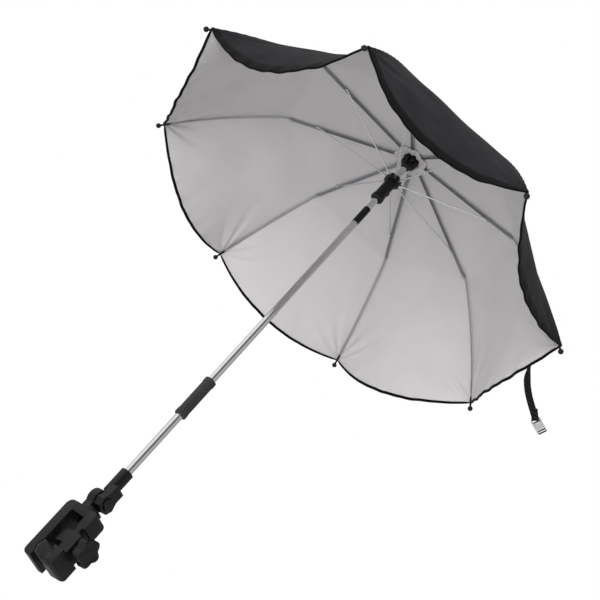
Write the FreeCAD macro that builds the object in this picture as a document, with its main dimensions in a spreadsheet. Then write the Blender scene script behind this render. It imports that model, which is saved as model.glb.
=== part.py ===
import FreeCAD, Part
import math
import os
import re

# Pram parasol. The pole stands along +Z, and the origin is the centre of the tube that the clamp grips.
# The gripped tube runs along X, and the clamp's knob faces -Y. Lengths are millimetres, angles degrees.

RIB_COUNT = 8
STRAP_RIB = 4
PANEL_STRIPS = 3
STRAP_STRIP = 1

# Driving dimensions: name, value and meaning.
DIMENSIONS = [
    ("hub_height", 860, "height of the rib pivots above the gripped tube"),
    ("first_rib_azimuth", 157.5, "direction of rib 1 about the pole"),
    ("front_azimuth", 315, "direction that the stop pin and the runner button face"),
    ("fit_clearance", 0.05, "radial clearance of a running fit"),
    ("part_gap", 0.3, "gap between faces that pass each other"),
    # Ribs
    ("rib_pivot_radius", 10.5, "pole axis to rib pivot"),
    ("rib_pitch", 12.6, "slope of the rib's straight part below level"),
    ("rib_channel_length", 206.5, "pivot to the end of the steel channel"),
    ("rib_channel_wall", 0.4, "sheet thickness of the channel"),
    ("rib_flat_length", 18, "flattened inner end of the channel"),
    ("rib_flat_thickness", 2, "thickness of the flattened end"),
    ("rib_rod_radius", 1, "glass-fibre rod"),
    ("rib_rod_play", 0.2, "side room of the rod in the channel"),
    ("rib_rod_lap", 56, "length of rod held in the channel"),
    ("rib_elbow_radius", 30, "elbow of the rod at the end of the channel"),
    ("rib_elbow_angle", 21.5, "turn of that elbow"),
    ("rib_bow_radius", 739, "bow of the rod under the cloth's pull"),
    ("rib_bow_angle", 16, "turn of that bow"),
    ("rib_collar_length", 6, "crimped collar at the channel's end"),
    ("rib_collar_wall", 0.4, "thickness of the collar"),
    ("tip_ball_radius", 4.2, "ball on the rib's end"),
    ("tip_wall", 0.7, "wall of the tip's socket"),
    ("tip_socket_length", 20, "length of the tip's socket"),
    # Stretchers
    ("link_distance", 156.3, "rib pivot to the stretcher's outer joint"),
    ("stretcher_radius", 1.1, "stretcher wire"),
    ("stretcher_eye_radius", 2.2, "eyes at both ends of a stretcher"),
    ("stretcher_flat_length", 8, "flattened inner end of a stretcher"),
    ("stretcher_flat_thickness", 2.4, "thickness of that end"),
    ("stretcher_flat_half", 1.5, "half height of that end"),
    ("stretcher_end_half", 1.3, "half thickness of the outer eye"),
    ("rivet_head_radius", 1.6, "rivet head at the outer joint"),
    ("rivet_head_height", 0.7, "height of that head"),
    # Hinge pins of the crown and the runner
    ("pin_radius", 0.6, "hinge pin"),
    ("pin_length", 5.2, "length of a hinge pin"),
    # Crown
    ("crown_radius", 13, "crown"),
    ("crown_rise", 1.3, "crown above the pivots"),
    ("crown_depth", 12.7, "crown below the pivots"),
    ("crown_slot_root", 7.4, "inner end of the rib slots"),
    ("crown_neck_radius", 8, "neck below the crown"),
    ("crown_neck_length", 8, "length of the neck"),
    ("cap_radius", 12, "cap above the cloth"),
    ("cap_rim", 2, "height of the cap's rim"),
    ("cap_slope", 5, "height of the cap's cone"),
    ("finial_radius", 4, "finial on the cap"),
    ("finial_height", 9, "height of the finial's stem"),
    ("cap_stem_length", 14, "plug of the cap inside the tube"),
    # Runner
    ("runner_drop", 57, "stretcher pivots below the rib pivots, canopy open"),
    ("runner_pivot_radius", 10.3, "pole axis to stretcher pivot"),
    ("runner_flange_radius", 13.5, "flange with the stretcher slots"),
    ("runner_flange_half", 5, "half height of the flange"),
    ("runner_body_radius", 9.5, "grip of the runner"),
    ("runner_body_length", 42, "length of the grip"),
    ("runner_foot_radius", 10.6, "collar at the runner's lower end"),
    ("runner_foot_height", 5, "height of that collar"),
    ("runner_play", 0.35, "radial room of the runner over the ferrule"),
    ("runner_slot_root", 7.2, "inner end of the stretcher slots"),
    ("button_radius", 3, "runner button"),
    ("button_stand", 1.1, "button above the grip"),
    ("button_depth", 1.7, "button below the grip's face"),
    ("button_drop", 27, "button below the stretcher pivots"),
    # Pole
    ("upper_tube_radius", 5.1, "upper tube"),
    ("tube_wall", 0.45, "wall of all three tubes"),
    ("upper_tube_length", 210, "upper tube below the rib pivots"),
    ("middle_tube_drop", 166, "top of the middle tube below the rib pivots"),
    ("joint_rise", 199.5, "lower end of the middle tube above the tilt axis"),
    ("ferrule_length", 36, "black ferrule on the middle tube"),
    ("ferrule_stand", 0.2, "ferrule proud of the middle tube"),
    ("stop_pin_drop", 11, "stop pin below the ferrule"),
    ("stop_pin_radius", 1.6, "stop pin"),
    ("stop_pin_stand", 0.7, "head of the stop pin proud of the tube"),
    ("sleeve_radius", 8.5, "joint sleeve"),
    ("sleeve_length", 69, "length of the sleeve"),
    ("sleeve_band_height", 7, "thicker band at each end of the sleeve"),
    ("sleeve_band_stand", 0.6, "band proud of the sleeve"),
    ("joint_gap", 0.5, "gap between the lower and the middle tube, inside the sleeve"),
    ("lower_tube_rise", 22, "lower end of the lower tube above the tilt axis"),
    # Tilting arm
    ("tilt_rise", 22, "tilt axis above the fixed jaw"),
    ("socket_radius", 9.5, "arm's socket for the pole"),
    ("socket_top_rise", 53, "top of the socket above the tilt axis"),
    ("socket_bottom_rise", 16, "bottom of the socket above the tilt axis"),
    ("boss_radius", 14, "arm's boss, corner to axis"),
    ("boss_depth", 13.5, "pole axis to the boss's face"),
    ("tilt_half_gap", 0.15, "half of the gap between boss and knuckle"),
    ("axle_radius", 3, "tilt axle"),
    ("axle_head_radius", 5.5, "head of the axle"),
    ("axle_head_height", 1.8, "height of that head"),
    ("cap_button_radius", 8.5, "tilt button"),
    ("cap_button_length", 6.6, "length of the tilt button"),
    ("cap_button_stand", 3, "tilt button proud of the boss"),
    ("boss_floor", 5, "pole axis to the floor of the button's recess"),
    ("knuckle_radius", 15, "knuckle's disc"),
    ("knuckle_depth", 13, "pole axis to the knuckle's back face"),
    ("knuckle_half_width", 11, "half width of the knuckle's post"),
    ("swivel_radius", 14, "turntable under the knuckle"),
    ("swivel_height", 5, "height of the turntable"),
    ("spigot_radius", 6, "spigot in the fixed jaw"),
    ("swivel_screw_radius", 2.5, "swivel screw"),
    ("swivel_screw_length", 20, "length of the swivel screw's shank"),
    ("swivel_head_radius", 8, "head of the swivel screw"),
    ("swivel_head_height", 3, "height of that head"),
    # Clamp
    ("jaw_half_width", 20, "half width of the jaws along the gripped tube"),
    ("jaw_top", 75, "top of the fixed jaw"),
    ("jaw_roof", 13, "thickness of the fixed jaw's roof"),
    ("jaw_bottom", 18, "jaws below the gripped tube's axis"),
    ("jaw_back", 27, "back of the fixed jaw"),
    ("jaw_inner", 11, "inner face of the fixed jaw"),
    ("jaw_rounding", 9, "rounding of the fixed jaw's outer edges"),
    ("hook_front", 25, "front of the hook"),
    ("hook_inner", 9, "inner face of the hook"),
    ("hook_bottom", 47.5, "lower face of the hook"),
    ("fulcrum_radius", 5, "rounded top of the moving jaw"),
    ("fulcrum_front", 16, "fulcrum in front of the pole axis"),
    ("fulcrum_height", 47, "fulcrum above the gripped tube"),
    ("moving_front", 28, "front face of the moving jaw"),
    ("moving_inner", 10.5, "inner face of the moving jaw"),
    ("moving_top", 40, "top of the moving jaw below its neck"),
    ("shoulder_inner", 5, "inner face of the moving jaw's shoulder, behind the pole axis"),
    ("shoulder_low", 20, "lower face of that shoulder"),
    ("moving_arm_half_width", 13, "half width of the moving jaw's upper part"),
    ("moving_wide_top", 9, "top of the moving jaw's full-width part"),
    ("moving_neck_half", 4, "half thickness of the moving jaw's neck"),
    ("moving_rounding", 6.5, "rounding of the moving jaw's front edges"),
    ("grip_radius", 12.5, "gripped tube"),
    ("pad_thickness", 2, "rubber pads"),
    ("pad_half_width", 18, "half width of the pads"),
    ("pad_angle", 96, "arc that each pad covers"),
    ("bolt_height", 26, "clamp bolt above the gripped tube"),
    ("bolt_radius", 3, "clamp bolt"),
    ("bolt_head_radius", 6, "head of the clamp bolt"),
    ("bolt_head_height", 3, "height of that head"),
    ("bolt_reach", 46.5, "pole axis to the bolt's free end"),
    ("bolt_slot_half", 10, "half height of the slot in the moving jaw"),
    ("bolt_slot_half_width", 4, "half width of that slot"),
    ("washer_radius", 8, "clamp washer"),
    ("washer_thickness", 1.6, "thickness of the washer"),
    ("knob_core_radius", 12, "middle of the star knob"),
    ("knob_lobe_radius", 7, "lobes of the star knob"),
    ("knob_lobe_ring", 12.5, "knob axis to a lobe's axis"),
    ("knob_height", 14, "height of the star knob"),
    ("knob_neck_radius", 8, "neck of the star knob"),
    ("knob_neck_height", 5, "height of that neck"),
    ("knob_rounding", 2, "rounding of the knob's front edge"),
    ("insert_radius", 5, "threaded insert of the knob"),
    ("insert_length", 13, "length of the insert"),
    # Cloth
    ("cloth_lift", 3, "rib axis to the inside of the cloth"),
    ("cloth_thickness", 0.8, "cloth with its seams"),
    ("cloth_inset", 4, "cloth inside the rib pivots"),
    ("cloth_split", 0.15, "half of the gap between neighbouring panels"),
    ("hem_sag", 47, "hem below its ends at the ribs, halfway between two ribs"),
    ("hem_draw", 17, "hem drawn in from the line between those ends, halfway between two ribs"),
    ("hem_clear", 10, "end of the hem at a rib to the middle of the tip ball"),
    ("draw_power", 8, "how late along the rib the cloth is drawn in"),
    ("strap_width", 9, "tie strap"),
    ("strap_thickness", 1.2, "thickness of the strap"),
    ("strap_length", 82, "length of the strap"),
    ("strap_slope", 50, "slope of the strap below level"),
    ("strap_offset", 90, "strap beside the middle of its gore"),
    ("tab_length", 24, "tab on the strap"),
    ("tab_width", 15, "width of the tab"),
    ("tab_thickness", 2.2, "thickness of the tab"),
]

# Sizes that follow from the driving ones, as expressions. One may use others that come after it.
DERIVED = {
    "upper_tube_bottom": "(hub_height - upper_tube_length)",
    "middle_tube_top": "(hub_height - middle_tube_drop)",
    "lower_tube_top": "(middle_tube_bottom - joint_gap)",
    "middle_tube_bottom": "(tilt_height + joint_rise)",
    "lower_tube_bottom": "(tilt_height + lower_tube_rise)",
    "socket_top": "(tilt_height + socket_top_rise)",
    "socket_bottom": "(tilt_height + socket_bottom_rise)",
    "tilt_height": "(jaw_top + tilt_rise)",
    "channel_half_width": "(rib_rod_radius + rib_rod_play + rib_channel_wall)",
    "channel_half_height": "(rib_rod_radius + rib_channel_wall)",
    "stretcher_side": "(rib_rod_radius + rib_rod_play + rib_channel_wall + part_gap + stretcher_end_half)",
    "middle_tube_radius": "(upper_tube_radius + fit_clearance + tube_wall)",
    "runner_bore": "(upper_tube_radius + fit_clearance + tube_wall + ferrule_stand + runner_play)",
    "pivot_height": "(hub_height - runner_drop)",
    "link_run": "(rib_pivot_radius + link_distance * cos(rib_pitch) - runner_pivot_radius)",
    "link_rise": "(runner_drop - link_distance * sin(rib_pitch))",
    "elbow_along": "(rib_channel_length + rib_elbow_radius * sin(rib_elbow_angle))",
    "elbow_below": "(rib_elbow_radius * (1 - cos(rib_elbow_angle)))",
    "tip_turn": "(rib_elbow_angle + rib_bow_angle)",
    "tip_along": "(rib_channel_length + rib_elbow_radius * sin(rib_elbow_angle)"
                 " + rib_bow_radius * (sin(rib_elbow_angle + rib_bow_angle) - sin(rib_elbow_angle)))",
    "tip_below": "(rib_elbow_radius * (1 - cos(rib_elbow_angle))"
                 " + rib_bow_radius * (cos(rib_elbow_angle) - cos(rib_elbow_angle + rib_bow_angle)))",
    "roof_bottom": "(jaw_top - jaw_roof)",
    "notch_radius": "(grip_radius + pad_thickness)",
    "washer_front": "(moving_front + part_gap + washer_thickness)",
}

X_AXIS = FreeCAD.Vector(1, 0, 0)
Y_AXIS = FreeCAD.Vector(0, 1, 0)
Z_AXIS = FreeCAD.Vector(0, 0, 1)
GORE_HALF = 180 / RIB_COUNT

doc = FreeCAD.newDocument("pram_parasol")
sheet = doc.addObject("Spreadsheet::Sheet", "dims")
for row, (alias, value, meaning) in enumerate(DIMENSIONS, start=1):
    sheet.set("A%d" % row, alias)
    sheet.set("B%d" % row, str(value))
    sheet.set("C%d" % row, meaning)
    sheet.setAlias("B%d" % row, alias)
doc.recompute()
ALIASES = {alias for alias, value, meaning in DIMENSIONS}


def bound(text):
    """The expression with derived names written out and each alias read from the sheet."""
    for name, meaning in DERIVED.items():
        text = re.sub(r"\b%s\b" % name, meaning, text)
    return re.sub(r"\b[a-z]\w*", lambda word: "dims." + word[0] if word[0] in ALIASES else word[0], text)


def size(alias):
    """A driving dimension as a number."""
    return float(sheet.get(alias))


def bind(obj, **sizes):
    for prop, text in sizes.items():
        obj.setExpression(prop, bound(text))
    return obj


def place(obj, x="0", y="0", z="0"):
    obj.setExpression("Placement.Base.x", bound(x))
    obj.setExpression("Placement.Base.y", bound(y))
    obj.setExpression("Placement.Base.z", bound(z))
    return obj


def turn(obj, axis, angle):
    """Turn an object about an axis through its own base point."""
    obj.Placement = FreeCAD.Placement(FreeCAD.Vector(), FreeCAD.Rotation(axis, 1))
    obj.setExpression("Placement.Rotation.Angle", bound(angle))
    return obj


def box(name, x, y, z):
    """A box between a low and a high expression along each axis."""
    made = doc.addObject("Part::Box", name)
    bind(made, Length="%s - (%s)" % (x[1], x[0]), Width="%s - (%s)" % (y[1], y[0]),
         Height="%s - (%s)" % (z[1], z[0]))
    return place(made, x[0], y[0], z[0])


AXIS_TURNS = {
    "x": FreeCAD.Rotation(Y_AXIS, 90),
    "y": FreeCAD.Rotation(X_AXIS, -90),
    "z": FreeCAD.Rotation(),
}


def along(obj, axis, low, at):
    """Stand an object that was made along Z on the given axis, starting at low."""
    obj.Placement = FreeCAD.Placement(FreeCAD.Vector(), AXIS_TURNS[axis])
    first, second = at
    base = {"x": (low, first, second), "y": (first, low, second), "z": (first, second, low)}[axis]
    return place(obj, *base)


def cylinder(name, axis, radius, low, high, at=("0", "0")):
    made = doc.addObject("Part::Cylinder", name)
    bind(made, Radius=radius, Height="%s - (%s)" % (high, low))
    return along(made, axis, low, at)


def cone(name, radius_low, radius_high, low, high):
    made = doc.addObject("Part::Cone", name)
    bind(made, Radius1=radius_low, Radius2=radius_high, Height="%s - (%s)" % (high, low))
    return along(made, "z", low, ("0", "0"))


def sphere(name, radius, x="0", y="0", z="0"):
    made = doc.addObject("Part::Sphere", name)
    bind(made, Radius=radius)
    return place(made, x, y, z)


def group(name, *members):
    made = doc.addObject("Part::Compound", name)
    made.Links = list(members)
    return made


def fuse(name, *members):
    made = doc.addObject("Part::MultiFuse", name)
    made.Shapes = list(members)
    made.Refine = True
    return made


def cut(name, base, *tools):
    made = doc.addObject("Part::Cut", name)
    made.Base = base
    made.Tool = tools[0] if len(tools) == 1 else group(name + "_tools", *tools)
    return made


def tube(name, radius, wall, low, high):
    outer = cylinder(name + "_outer", "z", radius, low, high)
    inner = cylinder(name + "_inner", "z", "%s - %s" % (radius, wall), low, high)
    return cut(name, outer, inner)


def rounded(name, base, radius, chosen):
    """Round the edges of base that the test picks, by a radius from the sheet."""
    doc.recompute()
    made = doc.addObject("Part::Fillet", name)
    made.Base = base
    made.Edges = [(number, radius, radius) for number, edge in enumerate(base.Shape.Edges, start=1)
                  if chosen(edge)]
    return made


def rib_angle(number):
    return "first_rib_azimuth + %g" % (2 * GORE_HALF * (number - 1))


def ring(name, source):
    """Copies of one object at every rib's direction, as one object."""
    copies = [turn(group("%s_at_%d" % (name, number), source), Z_AXIS, rib_angle(number))
              for number in range(1, RIB_COUNT + 1)]
    return group(name, *copies)


nodes = []


def node(obj, label):
    """Register an object as one of the part's own pieces."""
    obj.Label = label
    nodes.append(obj)
    return obj


def node_ring(label, source):
    """One node at every rib's direction."""
    for number in range(1, RIB_COUNT + 1):
        copy = group("%s_node_%d" % (label, number), source)
        node(turn(copy, Z_AXIS, rib_angle(number)), "%s_%d" % (label, number))


def at_front(name, obj):
    """Turn an object that was made along +X to the front of the pole."""
    return turn(group(name, obj), Z_AXIS, "front_azimuth")


def make_crown():
    disc = cylinder("crown_disc", "z", "crown_radius", "hub_height - crown_depth",
                    "hub_height + crown_rise")
    neck = cylinder("crown_neck", "z", "crown_neck_radius", "hub_height - crown_depth - crown_neck_length",
                    "hub_height - crown_depth")
    bore = cylinder("crown_bore", "z", "upper_tube_radius", "hub_height - crown_depth - crown_neck_length",
                    "hub_height + crown_rise")
    slot_half = "(rib_flat_thickness / 2 + part_gap)"
    slot = box("crown_slot", ("crown_slot_root", "crown_radius + rib_flat_length"),
               ("-" + slot_half, slot_half), ("hub_height - crown_depth", "hub_height + crown_rise"))
    pin = cylinder("crown_pin", "y", "pin_radius", "-pin_length / 2", "pin_length / 2",
                   ("rib_pivot_radius", "hub_height"))
    pins = ring("crown_pin_ring", pin)
    node(cut("crown_body", fuse("crown_solid", disc, neck), bore, ring("crown_slots", slot), pins), "crown")
    node(group("crown_pin_set", pins), "crown_pins")

    seat = ("hub_height + cloth_inset * sin(rib_pitch)"
            " + (cloth_lift + cloth_thickness) * cos(rib_pitch) + part_gap")
    rim = cylinder("cap_rim_disc", "z", "cap_radius", seat, seat + " + cap_rim")
    slope = cone("cap_cone", "cap_radius", "finial_radius", seat + " + cap_rim",
                 seat + " + cap_rim + cap_slope")
    finial = cylinder("cap_finial", "z", "finial_radius", seat + " + cap_rim + cap_slope",
                      seat + " + cap_rim + cap_slope + finial_height")
    dome = sphere("cap_dome", "finial_radius", z=seat + " + cap_rim + cap_slope + finial_height")
    stem = cylinder("cap_stem", "z", "upper_tube_radius - tube_wall", seat + " - cap_stem_length", seat)
    node(fuse("cap_solid", rim, slope, finial, dome, stem), "crown_cap")


def make_runner():
    flange = cylinder("runner_flange", "z", "runner_flange_radius", "pivot_height - runner_flange_half",
                      "pivot_height + runner_flange_half")
    foot_low = "pivot_height - runner_flange_half - runner_body_length"
    body = cylinder("runner_grip", "z", "runner_body_radius", foot_low, "pivot_height - runner_flange_half")
    foot = cylinder("runner_foot", "z", "runner_foot_radius", foot_low, foot_low + " + runner_foot_height")
    bore = cylinder("runner_hole", "z", "runner_bore", foot_low, "pivot_height + runner_flange_half")
    slot_half = "(stretcher_flat_thickness / 2 + part_gap)"
    slot = box("runner_slot", ("runner_slot_root", "runner_flange_radius + stretcher_flat_length"),
               ("stretcher_side - " + slot_half, "stretcher_side + " + slot_half),
               ("pivot_height - stretcher_eye_radius - part_gap", "pivot_height + runner_flange_half"))
    pin = cylinder("runner_pin", "y", "pin_radius", "stretcher_side - pin_length / 2",
                   "stretcher_side + pin_length / 2", ("runner_pivot_radius", "pivot_height"))
    pins = ring("runner_pin_ring", pin)
    keyway_half = "(stop_pin_radius + 2 * part_gap)"
    keyway = box("runner_keyway", ("0", "middle_tube_radius + stop_pin_stand + 2 * part_gap"),
                 ("-" + keyway_half, keyway_half), (foot_low, "pivot_height + runner_flange_half"))
    button_at = ("0", "pivot_height - button_drop")
    hole = cylinder("runner_button_hole", "x", "button_radius + part_gap", "0",
                    "runner_body_radius + button_stand", button_at)
    button = cylinder("runner_button_body", "x", "button_radius", "runner_body_radius - button_depth",
                      "runner_body_radius + button_stand", button_at)
    front = at_front("runner_front_cuts", group("runner_cuts", keyway, hole))
    solid = fuse("runner_solid", flange, body, foot)
    node(cut("runner_body", solid, bore, ring("runner_slots", slot), pins, front), "runner")
    node(group("runner_pin_set", pins), "runner_pins")
    node(at_front("runner_button_front", button), "runner_button")


def arc_rod(name, radius, angle, start):
    """Rod that leaves start along +X and bends down."""
    made = doc.addObject("Part::Torus", name)
    bind(made, Radius1=radius, Radius2="rib_rod_radius", Angle3=angle)
    made.Placement = FreeCAD.Placement(FreeCAD.Vector(), FreeCAD.Rotation(Z_AXIS, X_AXIS, Y_AXIS, "ZXY"))
    return place(made, x=start, z="-" + radius)


def make_ribs():
    """One rib lies along +X from its pivot, in its own frame, and is then set into the crown and turned."""
    flat_half = "rib_flat_thickness / 2"
    eye = cylinder("rib_eye", "y", "channel_half_height", "-" + flat_half, flat_half)
    flat = box("rib_flat", ("0", "rib_flat_length"), ("-" + flat_half, flat_half),
               ("-channel_half_height", "channel_half_height"))
    stock = box("rib_stock", ("rib_flat_length - 2 * rib_channel_wall", "rib_channel_length"),
                ("-channel_half_width", "channel_half_width"),
                ("-channel_half_height", "channel_half_height"))
    inside = "(channel_half_width - rib_channel_wall)"
    groove = box("rib_groove", ("rib_flat_length", "rib_channel_length"), ("-" + inside, inside),
                 ("-channel_half_height", "rib_rod_radius"))
    hole = cylinder("rib_hole", "y", "pin_radius + fit_clearance", "-" + flat_half, flat_half)
    channel = cut("rib_channel", fuse("rib_steel", eye, flat, stock), groove, hole)

    collar_x = ("rib_channel_length - rib_collar_length", "rib_channel_length")
    collar_y = "(channel_half_width + rib_collar_wall)"
    collar_z = "(channel_half_height + rib_collar_wall)"
    collar = cut("rib_collar",
                 box("rib_collar_outer", collar_x, ("-" + collar_y, collar_y), ("-" + collar_z, collar_z)),
                 box("rib_collar_inner", collar_x, ("-channel_half_width", "channel_half_width"),
                     ("-channel_half_height", "channel_half_height")))

    straight = cylinder("rib_rod_straight", "x", "rib_rod_radius", "rib_channel_length - rib_rod_lap",
                        "rib_channel_length")
    elbow = arc_rod("rib_rod_elbow", "rib_elbow_radius", "rib_elbow_angle", "rib_channel_length")
    bow = turn(group("rib_rod_bow_turned", arc_rod("rib_rod_bow", "rib_bow_radius", "rib_bow_angle", "0")),
               Y_AXIS, "rib_elbow_angle")
    place(bow, x="elbow_along", z="-elbow_below")
    rod = fuse("rib_rod", straight, elbow, bow)

    socket = cylinder("tip_socket", "x", "rib_rod_radius + tip_wall", "-tip_socket_length", "0")
    ball = sphere("tip_ball", "tip_ball_radius")
    end = turn(group("tip_end", fuse("tip_solid", socket, ball)), Y_AXIS, "tip_turn")
    place(end, x="tip_along", z="-tip_below")
    tip = cut("tip_body", end, rod)

    for label, made in (("rib", group("rib_set", channel, collar, rod)), ("rib_tip", tip)):
        pitched = turn(group(label + "_pitched", made), Y_AXIS, "rib_pitch")
        node_ring(label, place(pitched, x="rib_pivot_radius", z="hub_height"))


def make_stretchers():
    """One stretcher lies along +X from its pivot, and is then tilted up to its joint beside the rib."""
    reach = "sqrt(link_run ^ 2 + link_rise ^ 2)"
    flat_half = "stretcher_flat_thickness / 2"
    eye = cylinder("stretcher_eye", "y", "stretcher_eye_radius", "-" + flat_half, flat_half)
    flat = box("stretcher_flat", ("0", "stretcher_flat_length"), ("-" + flat_half, flat_half),
               ("-stretcher_flat_half", "stretcher_flat_half"))
    wire = cylinder("stretcher_wire", "x", "stretcher_radius",
                    "stretcher_flat_length - stretcher_radius", reach)
    end = cylinder("stretcher_end", "y", "stretcher_eye_radius", "-stretcher_end_half",
                   "stretcher_end_half", (reach, "0"))
    head = cylinder("stretcher_rivet", "y", "rivet_head_radius", "stretcher_end_half",
                    "stretcher_end_half + rivet_head_height", (reach, "0"))
    hole = cylinder("stretcher_hole", "y", "pin_radius + fit_clearance", "-" + flat_half, flat_half)
    solid = cut("stretcher_solid", fuse("stretcher_steel", eye, flat, wire, end, head), hole)
    tilted = turn(group("stretcher_tilted", solid), Y_AXIS, "-atan2(link_rise; link_run)")
    node_ring("stretcher", place(tilted, x="runner_pivot_radius", y="stretcher_side", z="pivot_height"))


def make_pole():
    node(tube("upper_tube_body", "upper_tube_radius", "tube_wall", "upper_tube_bottom",
              "hub_height + crown_rise"), "upper_tube")
    pin_height = "middle_tube_top - stop_pin_drop"
    pin_low = "middle_tube_radius - tube_wall"
    pin = cylinder("stop_pin_body", "x", "stop_pin_radius", pin_low, "middle_tube_radius + stop_pin_stand",
                   ("0", pin_height))
    bored = cylinder("stop_pin_bore", "z", pin_low, pin_height + " - 2 * stop_pin_radius",
                     pin_height + " + 2 * stop_pin_radius")
    stop = at_front("stop_pin_front", cut("stop_pin_trim", pin, bored))
    middle = tube("middle_tube_plain", "middle_tube_radius", "tube_wall", "middle_tube_bottom",
                  "middle_tube_top")
    node(cut("middle_tube_body", middle, stop), "middle_tube")
    node(group("stop_pin_set", stop), "stop_pin")
    node(tube("ferrule_body", "middle_tube_radius + ferrule_stand", "(tube_wall + ferrule_stand)",
              "middle_tube_top", "middle_tube_top + ferrule_length"), "ferrule")

    low = "middle_tube_bottom - sleeve_length / 2"
    high = "middle_tube_bottom + sleeve_length / 2"
    band = "(sleeve_radius + sleeve_band_stand)"
    solid = fuse("sleeve_solid", cylinder("sleeve_grip", "z", "sleeve_radius", low, high),
                 cylinder("sleeve_lower_band", "z", band, low, low + " + sleeve_band_height"),
                 cylinder("sleeve_upper_band", "z", band, high + " - sleeve_band_height", high))
    upper_bore = cylinder("sleeve_upper_bore", "z", "middle_tube_radius", "middle_tube_bottom", high)
    lower_bore = cylinder("sleeve_lower_bore", "z", "middle_tube_radius + fit_clearance", low,
                          "middle_tube_bottom")
    node(cut("sleeve_body", solid, upper_bore, lower_bore), "joint_sleeve")
    node(tube("lower_tube_body", "middle_tube_radius", "tube_wall", "lower_tube_bottom", "lower_tube_top"),
         "lower_tube")


def make_arm():
    """The pole's arm and the knuckle meet in a half lap at the pole's axis and tilt about Y."""
    tilt_at = ("0", "tilt_height")
    socket = cylinder("arm_socket", "z", "socket_radius", "socket_bottom", "socket_top")
    web = box("arm_web", ("-socket_radius", "socket_radius"), ("-boss_depth", "-tilt_half_gap"),
              ("tilt_height", "socket_bottom + socket_radius"))
    boss = doc.addObject("Part::Prism", "arm_boss")
    boss.Polygon = 8
    bind(boss, Circumradius="boss_radius", Height="boss_depth - tilt_half_gap")
    along(boss, "y", "-boss_depth", tilt_at)
    bore = cylinder("arm_bore", "z", "middle_tube_radius", "lower_tube_bottom", "socket_top")
    recess = cylinder("arm_recess", "y", "cap_button_radius + part_gap", "-boss_depth", "-boss_floor",
                      tilt_at)
    axle_hole = cylinder("arm_axle_hole", "y", "axle_radius + fit_clearance", "-boss_depth", "0", tilt_at)
    node(cut("arm_body", fuse("arm_solid", socket, web, boss), bore, recess, axle_hole), "pole_arm")

    button_face = "-boss_depth - cap_button_stand"
    button = cylinder("tilt_button_body", "y", "cap_button_radius", button_face,
                      button_face + " + cap_button_length", tilt_at)
    node(button, "tilt_button")

    head_face = "-boss_floor - part_gap"
    shank = cylinder("axle_shank", "y", "axle_radius", head_face, "knuckle_depth", tilt_at)
    head = cylinder("axle_head", "y", "axle_head_radius", head_face + " - axle_head_height", head_face,
                    tilt_at)
    node(fuse("axle_body", shank, head), "tilt_axle")

    base = "jaw_top + part_gap"
    disc = cylinder("knuckle_disc", "y", "knuckle_radius", "tilt_half_gap", "knuckle_depth", tilt_at)
    post = box("knuckle_post", ("-knuckle_half_width", "knuckle_half_width"),
               ("tilt_half_gap", "knuckle_depth"), (base, "tilt_height"))
    table = cylinder("knuckle_table", "z", "swivel_radius", base, base + " + swivel_height")
    spigot = cylinder("knuckle_spigot", "z", "spigot_radius", "roof_bottom - part_gap", base)
    axle = cylinder("knuckle_axle_hole", "y", "axle_radius", "tilt_half_gap", "knuckle_depth", tilt_at)
    screw_low = "roof_bottom - part_gap"
    screw_top = screw_low + " + swivel_screw_length"
    screw_hole = cylinder("knuckle_screw_hole", "z", "swivel_screw_radius", screw_low, screw_top)
    solid = fuse("knuckle_solid", disc, post, table, spigot)
    node(cut("knuckle_body", solid, axle, screw_hole), "swivel_knuckle")

    screw = cylinder("swivel_screw_shank", "z", "swivel_screw_radius", screw_low, screw_top)
    screw_head = cylinder("swivel_screw_head", "z", "swivel_head_radius",
                          screw_low + " - swivel_head_height",
                          screw_low)
    node(fuse("swivel_screw_body", screw, screw_head), "swivel_screw")


def runs_along_x(edge, y, z):
    """True for a straight edge along X at the given place, within a micrometre."""
    ends = [vertex.Point for vertex in edge.Vertexes]
    return len(ends) == 2 and all(math.hypot(end.y - y, end.z - z) < 1e-3 for end in ends)


def make_fixed_jaw():
    full = ("-jaw_half_width", "jaw_half_width")
    back = box("fixed_back", full, ("jaw_inner", "jaw_back"), ("-jaw_bottom", "jaw_top"))
    roof = box("fixed_roof", full, ("-hook_front", "jaw_back"), ("roof_bottom", "jaw_top"))
    hook = box("fixed_hook", full, ("-hook_front", "-hook_inner"), ("hook_bottom", "jaw_top"))
    corners = [(size("jaw_back"), size("jaw_top")), (size("jaw_back"), -size("jaw_bottom")),
               (-size("hook_front"), size("jaw_top"))]
    solid = rounded("fixed_rounded", fuse("fixed_solid", back, roof, hook), size("jaw_rounding"),
                    lambda edge: any(runs_along_x(edge, y, z) for y, z in corners))
    notch = cylinder("fixed_notch", "x", "notch_radius", *full)
    seat = cylinder("fixed_seat", "x", "fulcrum_radius + fit_clearance", *full,
                    at=("-fulcrum_front", "fulcrum_height"))
    bore = cylinder("fixed_swivel_bore", "z", "spigot_radius + fit_clearance", "roof_bottom", "jaw_top")
    bolt = bolt_solid("fixed_bolt_hole")
    node(cut("fixed_body", solid, notch, seat, bore, bolt), "fixed_jaw")


def bolt_solid(name):
    """The clamp bolt lies along Y, with its head let into the back of the fixed jaw."""
    at = ("0", "bolt_height")
    shank = cylinder(name + "_shank", "y", "bolt_radius", "-bolt_reach", "jaw_back", at)
    head = cylinder(name + "_head", "y", "bolt_head_radius", "jaw_back - bolt_head_height", "jaw_back", at)
    return fuse(name, shank, head)


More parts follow.
